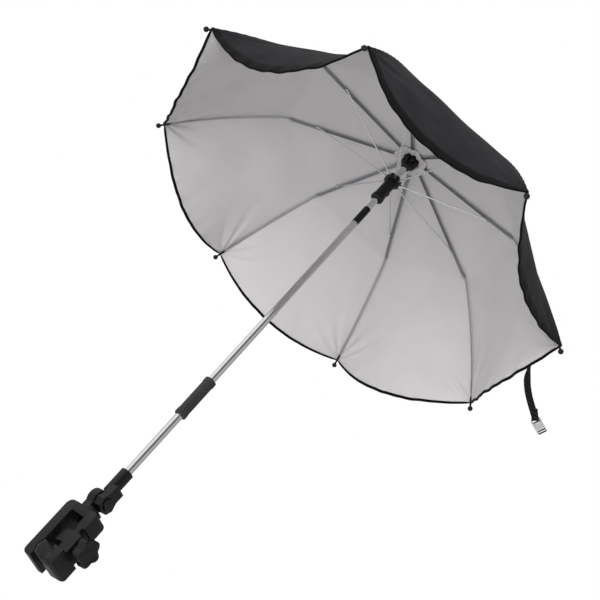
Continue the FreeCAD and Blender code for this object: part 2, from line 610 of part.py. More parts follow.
def make_moving_jaw():
    arm = ("-moving_arm_half_width", "moving_arm_half_width")
    full = ("-jaw_half_width", "jaw_half_width")
    depth = ("-moving_front", "-moving_inner")
    fulcrum_at = ("-fulcrum_front", "fulcrum_height")
    fulcrum = cylinder("moving_fulcrum", "x", "fulcrum_radius", *full, at=fulcrum_at)
    neck = box("moving_neck", arm,
               ("-fulcrum_front - moving_neck_half", "-fulcrum_front + moving_neck_half"),
               ("bolt_height", "fulcrum_height"))
    upper = box("moving_upper", arm, depth, ("0", "moving_top"))
    lower = box("moving_lower", full, depth, ("-jaw_bottom", "moving_wide_top"))
    shoulder = box("moving_shoulder", arm, ("-moving_inner", "shoulder_inner"),
                   ("shoulder_low", "moving_top"))
    corners = [(-size("moving_front"), -size("jaw_bottom")), (-size("moving_front"), size("moving_top")),
               (size("shoulder_inner"), size("shoulder_low")), (size("shoulder_inner"), size("moving_top"))]
    joined = fuse("moving_solid", fulcrum, neck, upper, lower, shoulder)
    solid = rounded("moving_rounded", joined, size("moving_rounding"),
                    lambda edge: any(runs_along_x(edge, y, z) for y, z in corners))
    notch = cylinder("moving_notch", "x", "notch_radius", *full)
    slot = box("moving_slot", ("-bolt_slot_half_width", "bolt_slot_half_width"),
               ("-moving_front", "shoulder_inner"),
               ("bolt_height - bolt_slot_half", "bolt_height + bolt_slot_half"))
    node(cut("moving_body", solid, notch, slot), "moving_jaw")


def pad(name, middle):
    """A rubber lining of a jaw's notch, an arc about X whose middle faces the given angle from +Y."""
    sector = doc.addObject("Part::Cylinder", name + "_sector")
    bind(sector, Radius="notch_radius", Height="2 * pad_half_width", Angle="pad_angle")
    sector.Placement = FreeCAD.Placement(FreeCAD.Vector(), FreeCAD.Rotation(Y_AXIS, Z_AXIS, X_AXIS, "ZXY"))
    place(sector, x="-pad_half_width")
    inside = cylinder(name + "_inside", "x", "grip_radius", "-pad_half_width", "pad_half_width")
    return turn(group(name, cut(name + "_arc", sector, inside)), X_AXIS, "%g - pad_angle / 2" % middle)


def make_screw():
    node(bolt_solid("bolt_body"), "clamp_bolt")
    at = ("0", "bolt_height")
    running = "bolt_radius + fit_clearance"
    washer_back = "-washer_front + washer_thickness"
    washer = cylinder("washer_disc", "y", "washer_radius", "-washer_front", washer_back, at)
    washer_hole = cylinder("washer_hole", "y", running, "-washer_front", washer_back, at)
    node(cut("washer_body", washer, washer_hole), "clamp_washer")

    back = "-washer_front - part_gap"
    front = back + " - knob_neck_height - knob_height"
    star_back = back + " - knob_neck_height"
    neck = cylinder("knob_neck", "y", "knob_neck_radius", star_back, back, at)
    core = cylinder("knob_core", "y", "knob_core_radius", front, star_back, at)
    lobes = []
    for number in range(5):
        lobe_x = "knob_lobe_ring * sin(%g)" % (72 * number)
        lobe_z = "bolt_height + knob_lobe_ring * cos(%g)" % (72 * number)
        lobes.append(cylinder("knob_lobe_%d" % number, "y", "knob_lobe_radius", front, star_back,
                              (lobe_x, lobe_z)))
    star = fuse("knob_solid", neck, core, *lobes)
    doc.recompute()
    face = star.Shape.BoundBox.YMin
    shaped = rounded("knob_rounded", star, size("knob_rounding"),
                     lambda edge: abs(edge.BoundBox.YMax - face) < 1e-3)
    insert = cylinder("insert_bush", "y", "insert_radius", back + " - insert_length", back, at)
    bolt_room = cylinder("knob_bolt_room", "y", running, front, back, at)
    node(cut("knob_body", shaped, insert, bolt_room), "star_knob")
    thread = cylinder("insert_thread", "y", running, back + " - insert_length", back, at)
    node(cut("insert_body", insert, thread), "knob_insert")


def cloth_line(height):
    """Points of the cloth above a rib, from the crown to the hem.

    Each is a radius and a height about the pole, and a share of the way along the cloth. The cloth runs
    straight over the channel, round the elbow and along the bow, at one height above the rib.
    """
    elbow, bow = math.radians(size("rib_elbow_angle")), math.radians(size("rib_bow_angle"))
    inner, outer = size("rib_elbow_radius") + height, size("rib_bow_radius") + height
    start, channel = -size("cloth_inset"), size("rib_channel_length")
    last = bow - size("hem_clear") / outer
    line = [(start + (channel - start) * part, height) for part in (0, 0.3, 0.6, 0.85)]
    for part in (0, 0.5, 1):
        turned = elbow * part
        line.append((channel + inner * math.sin(turned), height - inner * (1 - math.cos(turned))))
    along, up = line[-1]
    for part in (0.15, 0.4, 0.6, 0.75, 0.88, 1):
        turned = elbow + last * part
        line.append((along + outer * (math.sin(turned) - math.sin(elbow)),
                     up - outer * (math.cos(elbow) - math.cos(turned))))
    passed = [0.0]
    for here, there in zip(line, line[1:]):
        passed.append(passed[-1] + math.dist(here, there))
    pitch = math.radians(size("rib_pitch"))
    return [(size("rib_pivot_radius") + x * math.cos(pitch) + z * math.sin(pitch),
             size("hub_height") - x * math.sin(pitch) + z * math.cos(pitch), length / passed[-1])
            for (x, z), length in zip(line, passed)]


def panel_section(name, beside):
    """Section of the cloth that far from the rib, as a share of the way to the middle of the gore.

    Towards the hem the cloth hangs and is drawn in between the ribs, most in the middle of the gore.
    """
    half = math.radians(GORE_HALF)
    edges = []
    for height in (size("cloth_lift"), size("cloth_lift") + size("cloth_thickness")):
        points = []
        for radius, level, share in cloth_line(height):
            reach = radius * math.sin(half)
            across = max(reach * (1 - beside), size("cloth_split"))
            drawn = (1 - (across / reach) ** 2) * share ** size("draw_power")
            out = radius * math.cos(half) - size("hem_draw") * drawn
            points.append(FreeCAD.Vector(out * math.cos(half) + across * math.sin(half),
                                         out * math.sin(half) - across * math.cos(half),
                                         level - size("hem_sag") * drawn))
        edges.append(points)
    inner, outer = edges
    curves = []
    for points in (inner, outer[::-1]):
        curve = Part.BSplineCurve()
        curve.interpolate(points)
        curves.append(curve.toShape())
    made = doc.addObject("Part::Feature", name)
    made.Shape = Part.Wire([curves[0], Part.LineSegment(inner[-1], outer[-1]).toShape(), curves[1],
                            Part.LineSegment(outer[0], inner[0]).toShape()])
    return made


TIP_SLOPE = "(rib_pitch + tip_turn)"
HEM_LIFT = "(cloth_lift + cloth_thickness / 2)"
HEM_RADIUS = ("(rib_pivot_radius + tip_along * cos(rib_pitch) - tip_below * sin(rib_pitch)"
              " + %s * sin(%s) - hem_clear * cos(%s))" % (HEM_LIFT, TIP_SLOPE, TIP_SLOPE))
HEM_HEIGHT = ("(hub_height - tip_along * sin(rib_pitch) - tip_below * cos(rib_pitch)"
              " + %s * cos(%s) + hem_clear * sin(%s))" % (HEM_LIFT, TIP_SLOPE, TIP_SLOPE))


def make_panels():
    """Each panel is two half gores that meet over the rib, from there to the middle of the gore."""
    doc.recompute()
    left = doc.addObject("Part::Loft", "panel_left")
    left.Sections = [panel_section("panel_at_%d" % number, number / PANEL_STRIPS)
                     for number in range(PANEL_STRIPS + 1)]
    left.Solid = True
    left.Ruled = True
    right = doc.addObject("Part::Mirroring", "panel_right")
    right.Source = left
    right.Normal = Y_AXIS
    node_ring("canopy_panel", fuse("panel_solid", left, right))


def make_strap():
    """The strap hangs from the hem beside the middle of the gore after its rib, with a tab at its end.

    The hem is straight across each strip of the panel. Its strip is counted from the middle of the gore.
    """
    near, far = STRAP_STRIP / PANEL_STRIPS, (STRAP_STRIP + 1) / PANEL_STRIPS
    drawn = "(%g - %g * strap_offset / (%s * sin(%g)))" % (1 + near * far, near + far, HEM_RADIUS,
                                                           GORE_HALF)
    level = "(%s - hem_sag * %s)" % (HEM_HEIGHT, drawn)
    out = "(%s * cos(%g) - hem_draw * %s)" % (HEM_RADIUS, GORE_HALF, drawn)
    across = ("-strap_offset - strap_width / 2", "-strap_offset + strap_width / 2")
    tab_across = ("-strap_offset - tab_width / 2", "-strap_offset + tab_width / 2")
    webbing = box("strap_webbing", ("0", "strap_length"), across,
                  ("-strap_thickness / 2", "strap_thickness / 2"))
    tab = box("strap_tab_body", ("strap_length", "strap_length + tab_length"), tab_across,
              ("-tab_thickness / 2", "tab_thickness / 2"))
    gore = "%s + %g" % (rib_angle(STRAP_RIB), GORE_HALF)
    for label, made in (("tie_strap", webbing), ("strap_tab", tab)):
        sloped = turn(group(label + "_sloped", made), Y_AXIS, "strap_slope")
        place(sloped, x=out, z=level + " - strap_thickness")
        node(turn(group(label + "_set", sloped), Z_AXIS, gore), label)


make_fixed_jaw()
make_moving_jaw()
node(pad("fixed_pad_arc", 0), "fixed_pad")
node(pad("moving_pad_arc", 180), "moving_pad")
make_screw()
make_arm()
make_pole()
make_crown()
make_runner()
make_ribs()
make_stretchers()
make_panels()
make_strap()
doc.recompute()

failed = [obj.Name for obj in doc.Objects if "Invalid" in obj.State or "Error" in obj.State]
if failed:
    raise RuntimeError("objects that failed: " + ", ".join(failed))
for piece in nodes:
    if piece.Shape.isNull() or not piece.Shape.isValid():
        raise RuntimeError("shape of %s is not valid" % piece.Label)

os.makedirs("parts", exist_ok=True)
for piece in nodes:
    piece.Shape.exportStep("parts/%s.step" % piece.Label)
print("%d nodes" % len(nodes))
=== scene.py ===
"""Pram parasol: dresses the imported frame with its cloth, finishes and a pale studio."""
import math

import bmesh
import bpy
import numpy as np
from mathutils import Matrix, Vector


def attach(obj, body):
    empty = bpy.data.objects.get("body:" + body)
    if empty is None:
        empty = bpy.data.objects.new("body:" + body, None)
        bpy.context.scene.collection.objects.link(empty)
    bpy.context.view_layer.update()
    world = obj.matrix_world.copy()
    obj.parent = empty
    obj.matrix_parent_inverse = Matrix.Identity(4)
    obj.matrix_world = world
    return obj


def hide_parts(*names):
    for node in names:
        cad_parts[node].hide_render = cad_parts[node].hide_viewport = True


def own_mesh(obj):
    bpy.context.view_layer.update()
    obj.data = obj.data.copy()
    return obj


bl_info = {
    "name": "Pram parasol",
    "version": (1, 0, 0),
    "blender": (4, 5, 0),
    "location": "View3D > Sidebar > Parasol",
    "description": "Cloth, finishes and studio for a folding pram parasol",
    "category": "Object",
}

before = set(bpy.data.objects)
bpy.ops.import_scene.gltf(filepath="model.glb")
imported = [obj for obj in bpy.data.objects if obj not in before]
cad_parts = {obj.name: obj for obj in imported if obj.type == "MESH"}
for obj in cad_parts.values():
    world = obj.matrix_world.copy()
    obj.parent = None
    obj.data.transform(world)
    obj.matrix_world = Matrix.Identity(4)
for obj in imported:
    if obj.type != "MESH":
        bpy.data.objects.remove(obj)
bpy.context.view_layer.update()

MM = 0.001
RIBS = 8
GORE_HALF = math.pi / RIBS
FIRST_RIB = math.radians(157.5)
STRAP_RIB = 4
STRAP_STEPS = 90


def linear(code):
    """Linear RGBA of an sRGB colour written as #RRGGBB."""
    parts = np.array([int(code[i:i + 2], 16) for i in (1, 3, 5)]) / 255
    shade = np.where(parts <= 0.04045, parts / 12.92, ((parts + 0.055) / 1.055) ** 2.4)
    return (*shade.tolist(), 1.0)


def amount(name, description, value, **more):
    """A number that a user can change."""
    return bpy.props.FloatProperty(name=name, description=description, default=value, **more)


def length(name, description, millimetres):
    """A length in metres that a user can change, from its size in millimetres."""
    return amount(name, description, millimetres * MM, unit="LENGTH", precision=4)


def degrees(name, description, value):
    """An angle that a user can change, from its size in degrees."""
    return amount(name, description, math.radians(value), subtype="ANGLE")


def colour(name, description, code):
    """A colour that a user can change, from its sRGB code."""
    return bpy.props.FloatVectorProperty(name=name, description=description, default=linear(code),
                                         size=4, min=0, max=1, subtype="COLOR")


class ParasolCloth(bpy.types.PropertyGroup):
    """Sizes and colours of the canopy, its hem tape and its strap."""
    pivot_radius: length("Rib pivot radius", "Pole axis to rib pivot", 10.5)
    hub_height: length("Hub height", "Height of the rib pivots", 860)
    pitch: degrees("Rib pitch", "Slope of the ribs below level", 12.6)
    channel: length("Channel", "Rib pivot to the end of the steel channel", 206.5)
    elbow_radius: length("Elbow radius", "Elbow of the rib's rod at the end of the channel", 30)
    elbow: degrees("Elbow", "Turn of that elbow", 21.5)
    bow_radius: length("Bow radius", "Bow of the rib's rod", 739)
    bow: degrees("Bow", "Turn of that bow", 16)
    inset: length("Inset", "Cloth inside the rib pivots", 4)
    lift: length("Lift", "Rib axis to the middle of the cloth", 3.4)
    thickness: length("Thickness", "Cloth with its coating", 0.7)
    hem_sag: length("Hem sag", "Hem below its ends at the ribs, halfway between two ribs", 47)
    hem_draw: length("Hem draw", "Hem drawn in from the line between those ends", 17)
    hem_clear: length("Hem clear", "End of the hem at a rib to the middle of the tip ball", 10)
    draw_power: amount("Draw power", "How late along the rib the cloth is drawn in", 8)
    fan_depth: length("Fan depth", "Height of the creases that run from a rib tip", 2.6)
    fold_depth: length("Fold depth", "Height of the long soft folds", 0.6)
    tape_outside: length("Tape outside", "Hem tape on the outer face, from the edge", 9)
    tape_inside: length("Tape inside", "Hem tape on the inner face, from the edge", 1.8)
    tape_thickness: length("Tape thickness", "Hem tape over the cloth", 3.2)
    strap_width: length("Strap width", "Tie strap across", 10.2)
    strap_thickness: length("Strap thickness", "Tie strap", 1.2)
    strap_length: length("Strap length", "Hem to the bar of the tab", 82)
    strap_offset: length("Strap offset", "Strap beside the middle of its gore", 90)
    strap_slope: degrees("Strap slope", "Slope of the strap below level", 50)
    strap_bow: length("Strap bow", "Strap aside from a straight fall", 7)
    tab_length: length("Tab length", "Tab along", 24)
    tab_width: length("Tab width", "Tab across", 15)
    bar_radius: length("Tab bar", "Radius of the tab's bars", 1.1)
    rosette_radius: length("Rosette radius", "Outer edge of the patch at the crown", 29)
    rosette_hole: length("Rosette hole", "Inner edge of the patch at the crown", 14.8)
    rosette_drop: length("Rosette drop", "Patch below the ribs that it covers", 3.2)
    outside: colour("Outside", "Dyed outer face of the canopy", "#1E1E20")
    inside: colour("Inside", "Coated inner face of the canopy", "#BDBABC")
    tape: colour("Tape", "Hem tape and strap", "#070708")


class ParasolFinish(bpy.types.PropertyGroup):
    """Colours of the hard parts."""
    plastic: colour("Plastic", "Moulded parts", "#0B0B0D")
    sleeve: colour("Sleeve", "Joining sleeve", "#232325")
    tips: colour("Tips", "Rib tips", "#111113")
    chrome: colour("Chrome", "Plated tubes", "#E2E3E5")
    steel: colour("Steel", "Ribs", "#A2A3A7")
    wire: colour("Wire", "Stretchers", "#D3D4D6")
    zinc: colour("Zinc", "Screws, pins and washer", "#B7B9BB")
    brass: colour("Brass", "Threaded insert", "#B9975A")
    rubber: colour("Rubber", "Clamp pads", "#242425")
    tab: colour("Tab", "Moulded tab of the strap", "#A9AAA9")
    # The tab's bars get a colour of their own, darker than the clear tab.
    bars: colour("Tab bars", "Bars of the tab, darker than the tab", "#242426")


class ParasolClamp(bpy.types.PropertyGroup):
    """Sizes of the clamp's star knob and of its jaws as they are drawn."""
    bolt_height: length("Bolt height", "Clamp bolt above the gripped tube", 26)
    knob_back: length("Knob back", "Pole axis to the back of the knob", 30.2)
    knob_length: length("Knob length", "Knob along its bolt", 19)
    neck_length: length("Neck length", "Neck of the knob", 5)
    neck_radius: length("Neck radius", "Radius of that neck", 8)
    lobe: length("Lobe", "Knob axis to the end of a lobe", 19.5)
    valley: length("Valley", "Knob axis to the bottom between two lobes", 14.6)
    edge: length("Edge", "Rounding of the lobes' edges", 2.6)
    hole_radius: length("Hole", "Bolt hole", 3.05)
    hole_depth: length("Hole depth", "Depth of that hole", 16.8)
    bush_radius: length("Bush", "Seat of the threaded insert", 5.02)
    bush_length: length("Bush length", "Length of that seat", 13.05)
    jaw_half: length("Jaw half width", "Half of the jaws' width", 20)
    hook_half: length("Hook half width", "Half of the hook's width", 13.2)
    hook_inner: length("Hook inner", "Pole axis to the inner face of the hook", 9)
    back_inner: length("Back inner", "Pole axis to the inner face of the fixed jaw's back", 11)
    neck_height: length("Neck height", "Top of the moving jaw below its neck", 40.5)
    corner: length("Corner", "Rounding of the moving jaw's lower corners", 8)
    jaw_bottom: length("Jaw bottom", "Jaws below the gripped tube's axis", 18)


class ParasolStage(bpy.types.PropertyGroup):
    """Camera, floor and light."""
    focal: amount("Lens", "Focal length on a 36 mm sensor", 74.62, unit="CAMERA")
    floor_height: length("Floor", "Height of the floor", -620)
    floor_size: length("Floor size", "Half width of the floor", 9000)
    key_power: amount("Key", "Large soft lamp", 84, unit="POWER")
    fill_power: amount("Fill", "Lamp above", 30, unit="POWER")
    ambient: amount("Ambient", "Even light from all round", 0.55)
    floor: colour("Floor colour", "Paper of the floor", "#ECECEC")


def fill(node, inputs):
    """Sets a node's inputs, by name or number, to values or linked to sockets."""
    for key, value in inputs.items():
        if isinstance(value, bpy.types.NodeSocket):
            node.id_data.links.new(value, node.inputs[key])
        else:
            node.inputs[key].default_value = value


def add(tree, kind, inputs=None, **settings):
    """Adds one shader node with those settings and inputs."""
    node = tree.nodes.new("ShaderNode" + kind)
    for key, value in settings.items():
        setattr(node, key, value)
    fill(node, inputs or {})
    return node


def begin(name):
    """A new material of that name, its tree, its shader and the coordinates of its object."""
    made = bpy.data.materials.new(name)
    made.use_nodes = True
    tree = made.node_tree
    shader = tree.nodes["Principled BSDF"]
    place = add(tree, "TexCoord").outputs["Object"]
    return made, tree, shader, place


def per(millimetres):
    """Texture scale, in features per metre, of a pattern whose features are that far apart."""
    return 1 / (millimetres * MM)


def tint(shade, share):
    """The same colour times a share."""
    return [share * part for part in shade[:3]] + [1]


def cut_map(tree):
    """Place on the flat cloth, in metres: beside its middle and along it."""
    return add(tree, "UVMap", uv_map="cut").outputs["UV"]


def noise(tree, place, millimetres, detail, **more):
    """Soft noise with features that far apart."""
    inputs = {"Vector": place, "Scale": per(millimetres), "Detail": detail, **more}
    return add(tree, "TexNoise", inputs).outputs["Fac"]


def blended(tree, factor, first, second):
    """The first colour where the factor is 0 and the second where it is 1."""
    return add(tree, "Mix", {"Factor": factor, 6: first, 7: second}, data_type="RGBA").outputs[2]


def ramp(tree, factor, first, last, *between):
    """A ramp of colours; each stop is a place and a colour."""
    node = add(tree, "ValToRGB", {0: factor})
    stops = node.color_ramp.elements
    for number, (place, shade) in enumerate((first, last)):
        stops[number].position = place
        stops[number].color = shade
    for place, shade in between:
        stops.new(place).color = shade
    return node.outputs[0]


def maths(tree, operation, *values):
    """One step of arithmetic on numbers."""
    return add(tree, "Math", dict(enumerate(values)), operation=operation).outputs[0]


def vectors(tree, operation, *values):
    """One step of arithmetic on vectors."""
    return add(tree, "VectorMath", dict(enumerate(values)), operation=operation).outputs


def mapped(tree, value, start, end, low=0.0, high=1.0):
    """A value that runs from low to high where another runs from start to end."""
    return add(tree, "MapRange", {0: value, 1: start, 2: end, 3: low, 4: high}).outputs[0]


def drawn_out(tree, factor, low, high):
    """The middle part of a noise, drawn out to run from low to high."""
    return mapped(tree, factor, 0.3, 0.7, low, high)


def bumped(tree, height, strength, millimetres, **normal):
    """A bump of that height, over another normal if one is given."""
    inputs = {"Height": height, "Strength": strength, "Distance": millimetres * MM, **normal}
    return add(tree, "Bump", inputs).outputs[0]


def woven(tree, uv, strength, millimetres):
    """Bump of a plain weave. Its threads are 0.25 mm apart; it is drawn at 1.2 mm so that it shows."""
    weave = add(tree, "TexChecker", {"Vector": uv, "Scale": per(1.2)})
    return bumped(tree, weave.outputs["Fac"], strength, millimetres)


# Stitches, in metres: rows beside the cloth's middle, their spacing along it, and half a thread's width. Then
# the thread's share of a stitch.
SEAM_ROWS = (0.0034, 0.0032)
TAPE_ROWS = (0.0075, 0.003)
THREAD_HALF = 0.0005
THREAD_SHARE = 0.68


def stitched(tree, uv, offset, spacing):
    """1 on a row of stitches on both sides of the map's middle, at that offset; spacing along it."""
    axes = add(tree, "SeparateXYZ", {0: uv}).outputs
    beside = maths(tree, "COMPARE", maths(tree, "ABSOLUTE", axes["X"]), offset, THREAD_HALF)
    part = maths(tree, "FRACT", maths(tree, "MULTIPLY", axes["Y"], 1 / spacing))
    return maths(tree, "MULTIPLY", beside, maths(tree, "LESS_THAN", part, THREAD_SHARE))


def silver_coated_polyester(cloth):
    """Polyester with an aluminium-pigment coating: pale grey, a soft broad gloss, crinkles, a plain weave."""
    made, tree, shader, place = begin("silver_coated_polyester")
    uv = cut_map(tree)
    blotch = ramp(tree, noise(tree, place, 70, 3.0), (0.35, tint(cloth.inside, 0.95)), (0.65, cloth.inside))
    crinkle = noise(tree, place, 11, 4.0, Roughness=0.62)
    fill(shader, {
        "Base Color": blended(tree, stitched(tree, uv, *SEAM_ROWS), blotch, linear("#77767A")),
        "Roughness": drawn_out(tree, crinkle, 0.38, 0.52),
        "Normal": bumped(tree, crinkle, 0.35, 1.1, Normal=woven(tree, uv, 0.12, 0.1)),
        "Specular IOR Level": 0.4,
        "Sheen Weight": 0.05,
    })
    return made


def black_polyester(cloth):
    """Dyed polyester cloth: near black, dull, a faint sheen at the edge, a plain weave and soft crinkles."""
    made, tree, shader, place = begin("black_polyester")
    uv = cut_map(tree)
    worn = ramp(tree, noise(tree, place, 45, 4.0), (0.3, tint(cloth.outside, 0.78)),
                (0.7, tint(cloth.outside, 1.18)))
    crinkle = noise(tree, place, 13, 3.0)
    fill(shader, {
        "Base Color": blended(tree, stitched(tree, uv, *SEAM_ROWS), worn, linear("#161617")),
        "Normal": bumped(tree, crinkle, 0.3, 0.9, Normal=woven(tree, uv, 0.2, 0.12)),
        "Roughness": 0.78,
        "Specular IOR Level": 0.06,
        "Sheen Weight": 0.02,
        "Sheen Roughness": 0.4,
    })
    return made


def grosgrain_tape(cloth):
    """Folded grosgrain tape: black, ribbed across, with a row of stitches that holds it to the hem."""
    made, tree, shader, place = begin("grosgrain_tape")
    uv = cut_map(tree)
    faded = blended(tree, noise(tree, place, 9, 3.0), cloth.tape, tint(cloth.tape, 1.5))
    # Ribs of the tape are 0.6 mm apart; drawn at 1.5 mm so that they show.
    ribs = add(tree, "TexWave", {"Vector": uv, "Scale": per(1.5) / (2 * math.pi)}, bands_direction="Y")
    fill(shader, {
        "Base Color": blended(tree, stitched(tree, uv, *TAPE_ROWS), faded, linear("#161618")),
        "Normal": bumped(tree, ribs.outputs["Fac"], 0.3, 0.2),
        "Roughness": 0.7,
        "Specular IOR Level": 0.06,
        "Sheen Weight": 0.02,
    })
    return made


def polypropylene_webbing(cloth):
    """Woven polypropylene strap: black, a twill of flat bright threads."""
    made, tree, shader, _ = begin("polypropylene_webbing")
    # Picks are about 1 mm apart; drawn at 1.8 mm so that they show.
    inputs = {"Vector": cut_map(tree), "Scale": per(1.8) / (2 * math.pi), "Distortion": 0.4}
    picks = add(tree, "TexWave", inputs, bands_direction="DIAGONAL").outputs["Fac"]
    fill(shader, {
        "Base Color": blended(tree, picks, cloth.tape, linear("#1B1B1D")),
        "Normal": bumped(tree, picks, 0.5, 0.3),
        "Roughness": 0.6,
        "Specular IOR Level": 0.08,
        "Sheen Weight": 0.02,
    })
    return made


def moulded_plastic(name, shade, roughness, edge):
    """Moulded nylon or ABS: near black, a fine spark-eroded grain, softened edges and paler rubbed marks."""
    made, tree, shader, place = begin(name)
    cloud = noise(tree, place, 14, 5.0, Roughness=0.6)
    # Spark-eroded grain of 0.3 mm, drawn at 0.6 mm so that it shows.
    grain = noise(tree, place, 0.6, 2.0)
    soft = add(tree, "Bevel", {"Radius": edge * MM}, samples=4)
    fill(shader, {
        "Base Color": ramp(tree, cloud, (0.42, shade), (0.78, tint(shade, 1.6))),
        "Roughness": drawn_out(tree, cloud, roughness - 0.06, roughness + 0.1),
        "Normal": bumped(tree, grain, 0.18, 0.08, Normal=soft.outputs[0]),
        "Specular IOR Level": 0.27,
    })
    return made


def plated_metal(name, shade, roughness, drawn):
    """Plated or drawn metal: fine lines along the part, that far apart, and cloudy roughness."""
    made, tree, shader, place = begin(name)
    lines = add(tree, "Mapping", {"Vector": place, "Scale": (per(drawn), per(drawn), per(60))})
    streak = add(tree, "TexNoise", {"Vector": lines.outputs[0], "Scale": 1.0, "Detail": 3.0}).outputs["Fac"]
    fill(shader, {
        "Base Color": blended(tree, noise(tree, place, 22, 4.0), tint(shade, 0.92), shade),
        "Roughness": drawn_out(tree, streak, roughness - 0.03, roughness + 0.05),
        "Normal": bumped(tree, streak, 0.02, 0.01),
        "Metallic": 1.0,
    })
    return made


def moulded_rubber(finish):
    """Moulded rubber: dull black with a fine grip texture and dusty patches."""
    made, tree, shader, place = begin("moulded_rubber")
    grip = add(tree, "TexVoronoi", {"Vector": place, "Scale": per(1.6)})
    fill(shader, {
        "Base Color": blended(tree, noise(tree, place, 8, 5.0), finish.rubber, linear("#3A3A3B")),
        "Normal": bumped(tree, grip.outputs["Distance"], 0.35, 0.25),
        "Roughness": 0.85,
    })
    return made


def clear_polypropylene(finish):
    """Natural polypropylene: milky, half clear, softly glossy, with flow marks."""
    made, tree, shader, place = begin("clear_polypropylene")
    flow = noise(tree, place, 6, 3.0)
    fill(shader, {
        "Base Color": blended(tree, flow, finish.tab, linear("#77787A")),
        "Normal": bumped(tree, flow, 0.1, 0.3),
        "Roughness": 0.32,
        "IOR": 1.49,
        "Subsurface Weight": 0.3,
        "Subsurface Radius": (0.004, 0.004, 0.004),
    })
    return made


def matt_paper_floor(stage):
    """Matt white paper with faint fibres."""
    made, tree, shader, place = begin("matt_paper_floor")
    fill(shader, {
        "Base Color": blended(tree, noise(tree, place, 4, 3.0), stage.floor, linear("#F4F4F4")),
        "Roughness": 0.9,
    })
    return made


# Hard finishes: what makes each, its colour in ParasolFinish, its roughness, and the rounding of its edges or
# the spacing of its lines in millimetres.
HARD_FINISHES = {
    "zinc_plated_rib_steel": (plated_metal, "steel", 0.3, 0.8),
    "drawn_steel_wire": (plated_metal, "wire", 0.22, 0.8),
    "chrome_plated_tube": (plated_metal, "chrome", 0.11, 0.9),
    "zinc_plated_steel": (plated_metal, "zinc", 0.3, 0.7),
    "blackened_steel": (plated_metal, "plastic", 0.4, 0.6),
    "turned_brass": (plated_metal, "brass", 0.28, 0.6),
    "moulded_abs": (moulded_plastic, "plastic", 0.34, 0.5),
    "moulded_nylon_sleeve": (moulded_plastic, "sleeve", 0.42, 0.5),
    "moulded_nylon_tips": (moulded_plastic, "tips", 0.42, 0.2),
    # The tab's bars: a darker colour than the clear tab.
    "crimped_tab_bars": (moulded_plastic, "bars", 0.4, 0.1),
}
# The other finishes: what makes each, and the settings it is made from.
OTHER_FINISHES = {
    "black_polyester": (black_polyester, "parasol_cloth"),
    "silver_coated_polyester": (silver_coated_polyester, "parasol_cloth"),
    "grosgrain_tape": (grosgrain_tape, "parasol_cloth"),
    "polypropylene_webbing": (polypropylene_webbing, "parasol_cloth"),
    "moulded_rubber": (moulded_rubber, "parasol_finish"),
    "clear_polypropylene": (clear_polypropylene, "parasol_finish"),
    "matt_paper_floor": (matt_paper_floor, "parasol_stage"),
}


def finish_of(name):
    """The material of that name, made the first time it is asked for."""
    scene = bpy.context.scene
    if name in bpy.data.materials:
        return bpy.data.materials[name]
    if name in OTHER_FINISHES:
        make, group = OTHER_FINISHES[name]
        return make(getattr(scene, group))
    make, shade, roughness, fine = HARD_FINISHES[name]
    return make(name, getattr(scene.parasol_finish, shade), roughness, fine)


def new_piece(name, points, faces, finishes, cut=None, kinds=None, crease=math.radians(60)):
    """A mesh piece at the origin from points and faces, with finishes by name.

    Cut is each point's place on the flat cloth, and kinds is each face's number among the finishes."""
    mesh = bpy.data.meshes.new(name)
    mesh.from_pydata(points.reshape(-1, 3).tolist(), [], faces)
    for finish in finishes:
        mesh.materials.append(finish_of(finish))
    if kinds is not None:
        mesh.polygons.foreach_set("material_index", np.asarray(kinds, np.int32))
    if cut is not None:
        corners = np.empty(len(mesh.loops), np.int32)
        mesh.loops.foreach_get("vertex_index", corners)
        layer = mesh.uv_layers.new(name="cut")
        layer.uv.foreach_set("vector", cut.reshape(-1, 2)[corners].astype(np.float32).ravel())
    mesh.polygons.foreach_set("use_smooth", np.ones(len(mesh.polygons), bool))
    mesh.set_sharp_from_angle(angle=crease)
    mesh.validate()
    mesh.update()
    piece = bpy.data.objects.new(name, mesh)
    bpy.context.scene.collection.objects.link(piece)
    return piece


def quads(rows, columns, start=0):
    """Faces of a grid of points, one row after the other; they face rows cross columns."""
    i, j = np.meshgrid(np.arange(rows - 1), np.arange(columns - 1), indexing="ij")
    corner = (start + i * columns + j).ravel()
    return np.stack([corner, corner + columns, corner + columns + 1, corner + 1], axis=1)


def sheet_faces(rows, columns):
    """Faces of a closed thin sheet: its outer grid, its inner grid turned over, and the rim between them.

    Both grids start each face at the same corner, so that they share their diagonals and never cross."""
    total = rows * columns
    outer = quads(rows, columns)
    inner = quads(rows, columns, total)[:, [0, 3, 2, 1]]
    index = np.arange(total).reshape(rows, columns)
    ring = np.concatenate([index[:-1, 0], index[-1, :-1], index[:0:-1, -1], index[0, :0:-1]])
    following = np.roll(ring, -1)
    rim = np.stack([following, ring, ring + total, following + total], axis=1)
    return outer, inner, rim


def loop_faces(rows, columns):
    """Faces of a closed bar: loops of points one after the other, joined up, with both ends capped."""
    i, j = np.meshgrid(np.arange(rows - 1), np.arange(columns), indexing="ij")
    here = (i * columns + j).ravel()
    beside = (i * columns + (j + 1) % columns).ravel()
    sides = np.stack([here, here + columns, beside + columns, beside], axis=1).tolist()
    first = list(range(columns))
    last = list(range((rows - 1) * columns, rows * columns))[::-1]
    return sides + [first, last]


def thin_piece(name, middle, half, cut, *finishes):
    """A closed thin piece: a grid of points moved out and in by half. The last finish is its inner face's."""
    faces = sheet_faces(*middle.shape[:2])
    kinds = np.repeat([0, len(finishes) - 1, 0], [len(part) for part in faces])
    return new_piece(name, np.stack([middle + half, middle - half]), np.concatenate(faces).tolist(), finishes,
                     np.stack([cut, cut]), kinds)


def joined(*axes):
    """One grid of points from the values along each axis."""
    return np.stack(np.broadcast_arrays(*axes), axis=-1)


